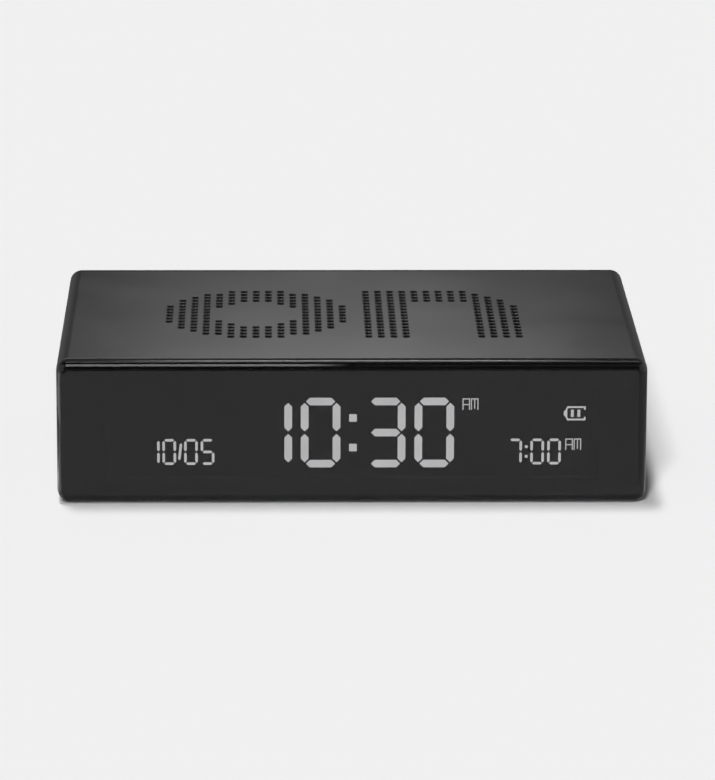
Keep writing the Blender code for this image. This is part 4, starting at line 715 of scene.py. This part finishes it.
def ring_points(radius, start, end, steps, centre=(0, 0)):
    angles = [math.radians(start + (end - start) * step / steps) for step in range(steps + 1)]
    return [(centre[0] + radius * math.cos(angle), centre[1] + radius * math.sin(angle)) for angle in angles]


def make_mark(name, lines, material):
    """The printed symbol on a button."""
    low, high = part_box(name)
    bm = bmesh.new()
    for points in lines:
        mark_line(bm, ((low.x + high.x) / 2, high.y), points)
    return add_piece(f"{name}_symbol", bm, material, body=name, even_normals=False)


def button_symbols():
    """Lines of the clock face, bell, minus and plus."""
    size = MARK_SIZE
    clock = [ring_points(size, 0, 360, 24), [(0, size * 0.6), (0, 0), (size * 0.45, 0)]]
    dome = ring_points(size * 0.7, 180, 0, 12, (0, size * 0.1))
    bell = [[(-size * 0.9, -size * 0.7), *dome, (size * 0.9, -size * 0.7), (-size * 0.9, -size * 0.7)]]
    bell.append([(-size * 0.2, -size), (size * 0.2, -size)])
    minus = [[(-size * 0.7, 0), (size * 0.7, 0)]]
    plus = minus + [[(0, -size * 0.7), (0, size * 0.7)]]
    return zip(BUTTONS, (clock, bell, minus, plus))


def make_cover_screw(number, material):
    """A countersunk screw with a hexagonal socket."""
    name = f"cover_screw_{number}"
    low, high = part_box(name)
    centre = ((low.x + high.x) / 2, (low.z + high.z) / 2)
    head = (high.x - low.x) / 2
    shank = head - HEAD_DEPTH + GAP
    profile = [(shank * 0.3, low.y), (shank, low.y + shank), (shank, high.y - HEAD_DEPTH), (head, high.y - GAP)]
    profile += [(head, high.y - RIM_CHAMFER / 2), (head - RIM_CHAMFER / 2, high.y)]

    def loop(radius_at, y):
        points = []
        for side in range(ROUND_SIDES):
            angle = 2 * math.pi * side / ROUND_SIDES
            radius = radius_at(angle)
            points.append(Vector((centre[0] + radius * math.cos(angle), y, centre[1] + radius * math.sin(angle))))
        return points

    def hexagon(half):
        return lambda angle: half / math.cos((angle + math.pi / 6) % (math.pi / 3) - math.pi / 6)

    loops = [loop(lambda angle, radius=radius: radius, y) for radius, y in profile]
    loops.append(loop(hexagon(SOCKET_HALF + RIM_CHAMFER / 2), high.y))
    loops.append(loop(hexagon(SOCKET_HALF), high.y - RIM_CHAMFER / 2))
    loops.append(loop(hexagon(SOCKET_HALF), high.y - SOCKET_DEPTH))
    return add_piece(f"{name}_hex", skin(loops), material, stands_for=(name,))


def make_port(material, plastic, gold):
    """The charging socket: a drawn steel shell round a tongue with its contacts."""
    low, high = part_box("usb_socket")
    width = high.x - low.x
    height = high.z - low.z
    floor = low.y + PORT_FLOOR
    loops = [rounded_loop(width, height, height / 2.01, y) for y in (low.y, high.y - PORT_EDGE)]
    loops.append(rounded_loop(width - 2 * PORT_EDGE, height - 2 * PORT_EDGE, height / 2.01 - PORT_EDGE, high.y))
    inner = (width - 2 * PORT_WALL, height - 2 * PORT_WALL)
    loops += [rounded_loop(*inner, inner[1] / 2.01, y) for y in (high.y, floor)]
    shell = add_piece("charging_port", skin(loops), material, stands_for=("usb_socket",))

    tongue = bmesh.new()
    tip = high.y - PORT_TONGUE_STEP
    half = (TONGUE_WIDTH / 2, TONGUE_THICKNESS / 2)
    box(tongue, (-half[0], floor - GAP, MID_Z - half[1]), (half[0], tip, MID_Z + half[1]))
    add_piece("port_tongue", tongue, plastic)
    contacts = bmesh.new()
    for side in (-1, 1):
        for index in range(PORT_CONTACTS):
            x = TONGUE_WIDTH * ((index + 0.5) / PORT_CONTACTS - 0.5)
            z = sorted((MID_Z + side * half[1], MID_Z + side * (half[1] + CONTACT_RISE)))
            box(contacts, (x - CONTACT_WIDTH / 2, floor, z[0]), (x + CONTACT_WIDTH / 2, tip - CONTACT_WIDTH, z[1]))
    add_piece("port_contacts", contacts, gold, even_normals=False)
    return shell


# Materials

class Shader:
    """A Principled material with helpers for its procedural detail, in object space and metres."""

    def __init__(self, name, colour, metallic=0.0, roughness=0.5):
        self.material = bpy.data.materials.new(name)
        self.material.use_nodes = True
        self.tree = self.material.node_tree
        self.principled = self.tree.nodes["Principled BSDF"]
        self.colour = colour
        self.set("Base Color", (*colour, 1))
        self.set("Metallic", metallic)
        self.set("Roughness", roughness)
        self.place = self.node("ShaderNodeTexCoord").outputs["Object"]

    def set(self, socket, value):
        self.principled.inputs[socket].default_value = value

    def node(self, kind, **settings):
        made = self.tree.nodes.new(kind)
        for key, value in settings.items():
            setattr(made, key, value)
        return made

    def link(self, source, target):
        self.tree.links.new(source, target)

    def stretched(self, scale):
        """The object's place, stretched so that a texture becomes long in one direction."""
        mapping = self.node("ShaderNodeMapping")
        mapping.inputs["Scale"].default_value = scale
        self.link(self.place, mapping.inputs["Vector"])
        return mapping.outputs["Vector"]

    def noise(self, size, detail=2.0, place=None):
        """Noise whose features are about this size."""
        made = self.node("ShaderNodeTexNoise")
        made.inputs["Scale"].default_value = 1 / size
        made.inputs["Detail"].default_value = detail
        self.link(place or self.place, made.inputs["Vector"])
        return made.outputs["Fac"]

    def cells(self, size, feature="F1"):
        made = self.node("ShaderNodeTexVoronoi", feature=feature)
        made.inputs["Scale"].default_value = 1 / size
        self.link(self.place, made.inputs["Vector"])
        return made.outputs["Distance"]

    def bands(self, pitch, direction, profile="SIN"):
        made = self.node("ShaderNodeTexWave", bands_direction=direction, wave_profile=profile)
        made.inputs["Scale"].default_value = math.pi / (10 * pitch)
        self.link(self.place, made.inputs["Vector"])
        return made.outputs["Fac"]

    def combine(self, operation, first, second):
        made = self.node("ShaderNodeMath", operation=operation)
        for socket, value in zip(made.inputs, (first, second)):
            if isinstance(value, (int, float)):
                socket.default_value = value
            else:
                self.link(value, socket)
        return made.outputs["Value"]

    def spread(self, source, low, high, start=0.3, end=0.7):
        """The source's range from start to end, mapped to low and high."""
        made = self.node("ShaderNodeMapRange")
        for socket, value in (("From Min", start), ("From Max", end), ("To Min", low), ("To Max", high)):
            made.inputs[socket].default_value = value
        self.link(source, made.inputs["Value"])
        return made.outputs["Result"]

    def tint(self, source, darker, lighter, start=0.3, end=0.7):
        """Colour that varies between shares of the base colour."""
        ramp = self.node("ShaderNodeValToRGB")
        for element, place, share in zip(ramp.color_ramp.elements, (start, end), (darker, lighter)):
            element.position = place
            element.color = (*[min(1, value * share) for value in self.colour], 1)
        self.link(source, ramp.inputs["Fac"])
        self.link(ramp.outputs["Color"], self.principled.inputs["Base Color"])

    def mixed(self, source, colours, start=0.45, end=0.55):
        """Colour that changes from one to another where the source crosses the middle."""
        ramp = self.node("ShaderNodeValToRGB")
        for element, place, colour in zip(ramp.color_ramp.elements, (start, end), colours):
            element.position = place
            element.color = (*colour, 1)
        self.link(source, ramp.inputs["Fac"])
        self.link(ramp.outputs["Color"], self.principled.inputs["Base Color"])

    def rough(self, source, low, high, start=0.3, end=0.7):
        self.link(self.spread(source, low, high, start, end), self.principled.inputs["Roughness"])

    def bump(self, source, depth, strength=1.0):
        """Bump whose full height is depth."""
        made = self.node("ShaderNodeBump")
        made.inputs["Strength"].default_value = strength
        made.inputs["Distance"].default_value = depth
        self.link(source, made.inputs["Height"])
        self.link(made.outputs["Normal"], self.principled.inputs["Normal"])


def aluminium_finish():
    """Bead-blasted, dark anodised aluminium."""
    shader = Shader("graphite_aluminium", (0.13, 0.13, 0.133), metallic=1.0, roughness=0.40)
    grain = shader.noise(0.00018, detail=3)
    cloud = shader.noise(0.030, detail=3)
    shader.tint(shader.combine("ADD", shader.combine("MULTIPLY", grain, 0.5), shader.combine("MULTIPLY", cloud, 0.5)), 0.9, 1.1)
    shader.rough(cloud, 0.37, 0.43)
    shader.set("Specular Tint", (0.9, 0.9, 0.9, 1))
    shader.bump(grain, 0.000004)
    return shader.material


def lens_finish():
    """Smoked, polished acrylic that lets the display's light through."""
    shader = Shader("smoked_acrylic", (0.12, 0.12, 0.125), roughness=0.03)
    shader.set("Transmission Weight", 1.0)
    shader.set("IOR", 1.40)
    shader.rough(shader.noise(0.006, detail=4), 0.004, 0.012)
    return shader.material


def plastic_finish(name, colour, roughness, grain, depth):
    """Moulded plastic with a spark-eroded grain."""
    shader = Shader(name, colour, roughness=roughness)
    texture = shader.noise(grain, detail=4)
    shader.tint(shader.noise(0.02), 0.88, 1.12)
    shader.rough(texture, roughness - 0.06, roughness + 0.06)
    shader.bump(texture, depth)
    return shader.material


def metal_finish(name, colour, roughness, stretch, depth):
    """Bare metal with fine lines drawn along its longest stretch."""
    shader = Shader(name, colour, metallic=1.0, roughness=roughness)
    lines = shader.noise(0.0004, detail=4, place=shader.stretched(stretch))
    shader.tint(shader.noise(0.004, detail=3), 0.85, 1.1)
    shader.rough(lines, roughness - 0.08, roughness + 0.10)
    shader.bump(lines, depth)
    return shader.material


def foam_finish():
    """Black closed-cell foam."""
    shader = Shader("foam", (0.022, 0.022, 0.022), roughness=0.9)
    cells = shader.cells(0.00035)
    shader.tint(cells, 0.6, 1.2, 0.1, 0.6)
    shader.rough(cells, 0.85, 0.95, 0, 1)
    shader.bump(cells, 0.00008)
    return shader.material


def cloth_finish():
    """Fine black acoustic mesh, woven across and along."""
    shader = Shader("mesh_cloth", (0.012, 0.012, 0.013), roughness=0.9)
    weave = shader.combine("MULTIPLY", shader.bands(0.0003, "X"), shader.bands(0.0003, "Y"))
    shader.tint(weave, 0.5, 1.4, 0.0, 0.8)
    shader.rough(weave, 0.95, 0.8, 0, 1)
    shader.bump(weave, 0.00006)
    return shader.material


def film_finish():
    """White optical film with a faint pearl grain."""
    shader = Shader("white_film", (0.82, 0.82, 0.83), roughness=0.45)
    grain = shader.noise(0.00015, detail=3)
    shader.tint(shader.noise(0.01), 0.95, 1.0)
    shader.rough(grain, 0.38, 0.5)
    shader.bump(grain, 0.000003)
    return shader.material


def guide_finish():
    """Clear light guide with rows of small printed dots."""
    shader = Shader("clear_acrylic", (0.9, 0.93, 0.95), roughness=0.05)
    shader.set("Transmission Weight", 0.9)
    dots = shader.cells(0.0008)
    shader.rough(dots, 0.5, 0.04, 0.2, 0.3)
    shader.bump(dots, 0.00001)
    return shader.material


def contact_finish():
    """Layered rubber strip: fine black conducting layers between pink ones."""
    shader = Shader("contact_rubber", (0.55, 0.16, 0.2), roughness=0.7)
    layers = shader.bands(0.0004, "X")
    shader.mixed(layers, ((0.01, 0.01, 0.01), (0.55, 0.16, 0.2)))
    shader.rough(layers, 0.6, 0.8, 0, 1)
    shader.bump(shader.noise(0.0003), 0.000006)
    return shader.material


def board_finish():
    """Green solder mask over copper tracks, which stand a little proud."""
    shader = Shader("circuit_board", (0.012, 0.105, 0.045), roughness=0.35)
    cells = shader.cells(0.0022, feature="DISTANCE_TO_EDGE")
    shader.mixed(cells, ((0.03, 0.20, 0.08), (0.012, 0.105, 0.045)), 0.08, 0.12)
    shader.rough(cells, 0.28, 0.4, 0.05, 0.15)
    shader.bump(shader.spread(cells, 1, 0, 0.07, 0.13), 0.00003)
    return shader.material


def foil_finish():
    """Crinkled foil of a battery pouch."""
    shader = Shader("battery_foil", (0.62, 0.64, 0.66), metallic=0.9, roughness=0.32)
    creases = shader.noise(0.003, detail=5)
    shader.tint(creases, 0.85, 1.05)
    shader.rough(creases, 0.25, 0.42)
    shader.bump(creases, 0.00012)
    return shader.material


def paper_finish():
    """Pressed pulp with long fibres."""
    shader = Shader("cone_paper", (0.045, 0.045, 0.043), roughness=0.85)
    fibres = shader.noise(0.0005, detail=5, place=shader.stretched((1, 1, 0.2)))
    shader.tint(fibres, 0.7, 1.5)
    shader.rough(fibres, 0.78, 0.95)
    shader.bump(fibres, 0.00003)
    return shader.material


def rubber_finish(name, colour):
    shader = Shader(name, colour, roughness=0.6)
    skin_grain = shader.noise(0.0005, detail=3)
    shader.tint(shader.noise(0.006), 0.85, 1.15)
    shader.rough(skin_grain, 0.52, 0.68)
    shader.bump(skin_grain, 0.000008)
    return shader.material


def ribbon_finish():
    """Flat ribbon with parallel conductors."""
    shader = Shader("ribbon_film", (0.72, 0.72, 0.70), roughness=0.4)
    strands = shader.bands(0.001, "X")
    shader.tint(strands, 0.75, 1.05, 0.2, 0.8)
    shader.rough(strands, 0.32, 0.5, 0, 1)
    shader.bump(strands, 0.00004)
    return shader.material


def segment_finish():
    """Clear segments of the negative display, lit from behind a little unevenly."""
    shader = Shader("lit_segments", (0.05, 0.05, 0.05), roughness=0.5)
    glow = shader.spread(shader.noise(0.012, detail=1), 0.94, 1.06)
    emission = shader.combine("MULTIPLY", glow, SEGMENT_GLOW)
    shader.set("Emission Color", (1.0, 0.99, 0.97, 1))
    shader.link(emission, shader.principled.inputs["Emission Strength"])
    return shader.material


def ink_finish():
    shader = Shader("black_ink", (0.004, 0.004, 0.004), roughness=0.5)
    shader.set("Specular IOR Level", 0.1)
    shader.rough(shader.noise(0.0004, detail=3), 0.42, 0.58)
    return shader.material


def glass_finish():
    """Dark display glass under a matt polariser."""
    shader = Shader("display_glass", (0.004, 0.004, 0.005), roughness=0.3)
    shader.set("Specular IOR Level", 0.1)
    film = shader.noise(0.0003, detail=3)
    shader.rough(film, 0.25, 0.35)
    shader.bump(film, 0.000002)
    return shader.material


# Studio

def emissive(name, colour, strength):
    material = bpy.data.materials.new(name)
    material.use_nodes = True
    tree = material.node_tree
    tree.nodes.clear()
    light = tree.nodes.new("ShaderNodeEmission")
    light.inputs["Color"].default_value = (*colour, 1)
    light.inputs["Strength"].default_value = strength
    output = tree.nodes.new("ShaderNodeOutputMaterial")
    tree.links.new(light.outputs["Emission"], output.inputs["Surface"])
    return material


def card(name, azimuth, elevation, distance, width, height, material, shift=0):
    """A flat card that only glossy surfaces see, placed round the front edge (azimuth 0 is in front, 180 behind)."""
    bm = bmesh.new()
    bmesh.ops.create_grid(bm, x_segments=1, y_segments=1, size=0.5)
    mesh = bpy.data.meshes.new(name)
    bm.to_mesh(mesh)
    bm.free()
    mesh.materials.append(material)
    made = link_object(name, mesh)
    around = math.radians(azimuth)
    above = math.radians(elevation)
    edge = Vector((0, FRONT_Y, BODY_HEIGHT))
    toward = Vector((math.sin(around) * math.cos(above), -math.cos(around) * math.cos(above), math.sin(above)))
    made.location = edge + toward * distance + Vector((shift, 0, 0))
    made.scale = (width, height, 1)
    made.rotation_mode = "QUATERNION"
    made.rotation_quaternion = (-toward).to_track_quat("Z", "Y")
    made.visible_camera = False
    made.visible_diffuse = False
    made.visible_transmission = False
    made.visible_shadow = False
    return made


def fading(name, strength, edge_strength, axis, core, fade):
    """A card's light, which falls from strength to edge_strength beyond a core share of its half width."""
    material = emissive(name, (1, 1, 1), strength)
    tree = material.node_tree
    light = tree.nodes["Emission"]
    place = tree.nodes.new("ShaderNodeTexCoord")
    parts = tree.nodes.new("ShaderNodeSeparateXYZ")
    tree.links.new(place.outputs["Object"], parts.inputs[0])
    away = tree.nodes.new("ShaderNodeMath")
    away.operation = "ABSOLUTE"
    tree.links.new(parts.outputs[axis], away.inputs[0])
    fall = tree.nodes.new("ShaderNodeMapRange")
    fall.interpolation_type = "SMOOTHSTEP"
    fall.inputs["From Min"].default_value = core / 2
    fall.inputs["From Max"].default_value = fade / 2
    fall.inputs["To Min"].default_value = strength
    fall.inputs["To Max"].default_value = edge_strength
    tree.links.new(away.outputs["Value"], fall.inputs["Value"])
    tree.links.new(fall.outputs["Result"], light.inputs["Strength"])
    return material


def make_floor():
    bm = bmesh.new()
    bmesh.ops.create_grid(bm, x_segments=1, y_segments=1, size=FLOOR_SIZE / 2)
    mesh = bpy.data.meshes.new("floor")
    bm.to_mesh(mesh)
    bm.free()
    material = bpy.data.materials.new("floor_paper")
    material.use_nodes = True
    shader = material.node_tree.nodes["Principled BSDF"]
    shader.inputs["Base Color"].default_value = (BACKGROUND, BACKGROUND, BACKGROUND, 1)
    shader.inputs["Roughness"].default_value = 1.0
    shader.inputs["Specular IOR Level"].default_value = 0.0
    mesh.materials.append(material)
    link_object("floor", mesh)


def make_world():
    """Even light on the object, and the pale background where the camera, gloss or glass sees past the floor."""
    world = bpy.data.worlds.new("studio")
    bpy.context.scene.world = world
    world.use_nodes = True
    tree = world.node_tree
    tree.nodes.clear()
    path = tree.nodes.new("ShaderNodeLightPath")
    seen = path.outputs["Is Camera Ray"]
    for other in ("Is Glossy Ray", "Is Transmission Ray"):
        either = tree.nodes.new("ShaderNodeMath")
        either.operation = "MAXIMUM"
        tree.links.new(seen, either.inputs[0])
        tree.links.new(path.outputs[other], either.inputs[1])
        seen = either.outputs["Value"]
    light = tree.nodes.new("ShaderNodeBackground")
    light.inputs["Color"].default_value = (1, 1, 1, 1)
    light.inputs["Strength"].default_value = SKY_SHARE
    pale = tree.nodes.new("ShaderNodeBackground")
    pale.inputs["Color"].default_value = (BACKGROUND, BACKGROUND, BACKGROUND, 1)
    mix = tree.nodes.new("ShaderNodeMixShader")
    tree.links.new(seen, mix.inputs["Fac"])
    tree.links.new(light.outputs["Background"], mix.inputs[1])
    tree.links.new(pale.outputs["Background"], mix.inputs[2])
    output = tree.nodes.new("ShaderNodeOutputWorld")
    tree.links.new(mix.outputs["Shader"], output.inputs["Surface"])


def make_sun(name, slope_x, slope_y, angle, share):
    """A sun whose light moves by these slopes as it falls, and gives a share of the floor's light."""
    data = bpy.data.lights.new(name, "SUN")
    data.angle = math.radians(angle)
    direction = Vector((slope_x, slope_y, -1)).normalized()
    data.energy = share * math.pi / -direction.z
    lamp = link_object(name, data)
    lamp.rotation_mode = "QUATERNION"
    lamp.rotation_quaternion = direction.to_track_quat("-Z", "Y")
    lamp.visible_glossy = False


def make_lights():
    for index in range(KEY_SUNS):
        slope = KEY_SLOPE_Y * (index + 0.5) / KEY_SUNS
        make_sun(f"key_{index + 1}", KEY_SLOPE_X, slope, KEY_ANGLE, KEY_SHARE / KEY_SUNS)
    make_sun("fill", FILL_SLOPE_X, FILL_SLOPE_Y, FILL_ANGLE, 1 - SKY_SHARE - KEY_SHARE)

    black = emissive("flag_black", (1, 1, 1), 0.05)
    dark = emissive("flag_dark", (1, 1, 1), 0.12)
    card("front_flag", 0, 27, 1.7, 2.4, 1.5, black)
    card("overhead_flag", 0, 84, 1.5, 2.4, 1.55, black)
    card("key_box", 0, 63, 1.1, 0.56, 0.60, fading("key_box", 5.3, 0, "X", 0.90, 1.0), shift=-0.26)
    card("rear_box", 180, 38, 0.32, 0.36, 0.13, fading("rear_box", 2.9, 0.2, "X", 0.24, 0.48), shift=0.006)
    card("rear_band", 180, 62, 0.4, 0.50, 0.135, fading("rear_band", 1.1, 1.6, "X", 0, 1.0), shift=0.010)
    card("rear_wall", 180, 23, 1.0, 2.4, 0.33, fading("rear_wall", 0.53, 0.01, "X", 0, 0.12))
    card("rear_flag", 180, 5.5, 1.0, 2.4, 0.29, fading("rear_flag", 0.05, 0.27, "X", 0.14, 0.24))
    card("rear_hood", 180, 58, 1.2, 2.4, 1.25, black)
    dim = emissive("flag_dim", (1, 1, 1), 0.2)
    floor_card("left_card", (-0.16, -0.09), (-0.060, -0.026), emissive("left_card", (1, 1, 1), 1.8))
    floor_card("left_far_card", (-0.45, -0.16), (-0.080, 0.015), emissive("left_far_card", (1, 1, 1), 2.4))
    floor_card("left_near_flag", (-0.16, -0.09), (-0.026, 0.20), dim)
    floor_card("left_far_flag", (-0.45, -0.16), (0.015, 0.20), dim)
    floor_card("right_card", (0.09, 0.40), (-0.20, -0.01), emissive("right_card", (1, 1, 1), 0.65))
    floor_card("right_near_flag", (0.09, 0.40), (-0.01, 0.20), dim)
    floor_card("low_flag", (-1.0, 1.0), (-2.0, FRONT_Y - 0.16), black)
    floor_card("rear_low_flag", (-1.0, 1.0), (0.22, 0.90), dark)


def floor_card(name, reach_x, reach_y, material):
    """A card that lies on the floor, between these places."""
    made = card(name, 0, -90, BODY_HEIGHT - GAP, reach_x[1] - reach_x[0], reach_y[1] - reach_y[0], material)
    made.location.x = sum(reach_x) / 2
    made.location.y = sum(reach_y) / 2


def make_camera():
    data = bpy.data.cameras.new("camera")
    data.sensor_width = SENSOR
    data.lens = FOCAL_PIXELS * SENSOR / max(PHOTO_WIDTH, PHOTO_HEIGHT)
    data.clip_start = 0.05
    data.clip_end = 20
    camera = link_object("camera", data)
    yaw, pitch, roll = (math.radians(value) for value in (CAMERA_YAW, CAMERA_PITCH, CAMERA_ROLL))
    ahead = Vector((math.sin(yaw) * math.cos(pitch), math.cos(yaw) * math.cos(pitch), -math.sin(pitch)))
    level = Vector((math.cos(yaw), -math.sin(yaw), 0))
    upward = level.cross(ahead)
    right = level * math.cos(roll) + upward * math.sin(roll)
    up = upward * math.cos(roll) - level * math.sin(roll)
    turn = Matrix((right, up, -ahead)).transposed().to_4x4()
    camera.matrix_world = Matrix.Translation(CAMERA_PLACE) @ turn
    bpy.context.scene.camera = camera


def make_finishes():
    """One material for each material slot of the record."""
    return {
        "graphite_aluminium": aluminium_finish(),
        "smoked_acrylic": lens_finish(),
        "black_plastic": plastic_finish("black_plastic", (0.018, 0.018, 0.018), 0.45, 0.0003, 0.000012),
        "button_plastic": plastic_finish("button_plastic", (0.032, 0.032, 0.033), 0.52, 0.0002, 0.000006),
        "tray_plastic": plastic_finish("tray_plastic", (0.07, 0.07, 0.075), 0.5, 0.0004, 0.00001),
        "white_plastic": plastic_finish("white_plastic", (0.7, 0.7, 0.69), 0.4, 0.0003, 0.000006),
        "foam": foam_finish(),
        "mesh_cloth": cloth_finish(),
        "display_glass": glass_finish(),
        "white_film": film_finish(),
        "clear_acrylic": guide_finish(),
        "contact_rubber": contact_finish(),
        "circuit_board": board_finish(),
        "steel": metal_finish("steel", (0.5, 0.5, 0.52), 0.3, (1, 0.1, 1), 0.000004),
        "spring_brass": metal_finish("spring_brass", (0.75, 0.56, 0.25), 0.25, (1, 1, 0.1), 0.000003),
        "battery_foil": foil_finish(),
        "magnet_steel": metal_finish("magnet_steel", (0.32, 0.32, 0.34), 0.4, (1, 1, 0.2), 0.000006),
        "cone_paper": paper_finish(),
        "surround_rubber": rubber_finish("surround_rubber", (0.02, 0.02, 0.02)),
        "lead_rubber": rubber_finish("lead_rubber", (0.32, 0.025, 0.025)),
        "ribbon_film": ribbon_finish(),
    }


def dress_nodes(finishes):
    """Gives every CAD node its slot's material."""
    for part in frame["record"]["subparts"]:
        mesh = frame["nodes"][part["node"]].data
        mesh.materials.clear()
        mesh.materials.append(finishes[part["material_slot"]])


def main():
    finishes = make_finishes()
    dress_nodes(finishes)
    make_sleeve(finishes["graphite_aluminium"])
    make_lens(finishes["smoked_acrylic"])
    make_print(ink_finish())
    make_segments(segment_finish())
    make_cover(finishes["black_plastic"])
    for name, lines in button_symbols():
        make_button(name, finishes["button_plastic"])
        make_mark(name, lines, finishes["white_plastic"])
    for number in range(1, 5):
        make_cover_screw(number, finishes["steel"])
    make_port(finishes["steel"], finishes["black_plastic"], finishes["spring_brass"])
    make_camera()
    make_floor()
    make_world()
    make_lights()
    bpy.context.scene.view_settings.view_transform = "Standard"


main()
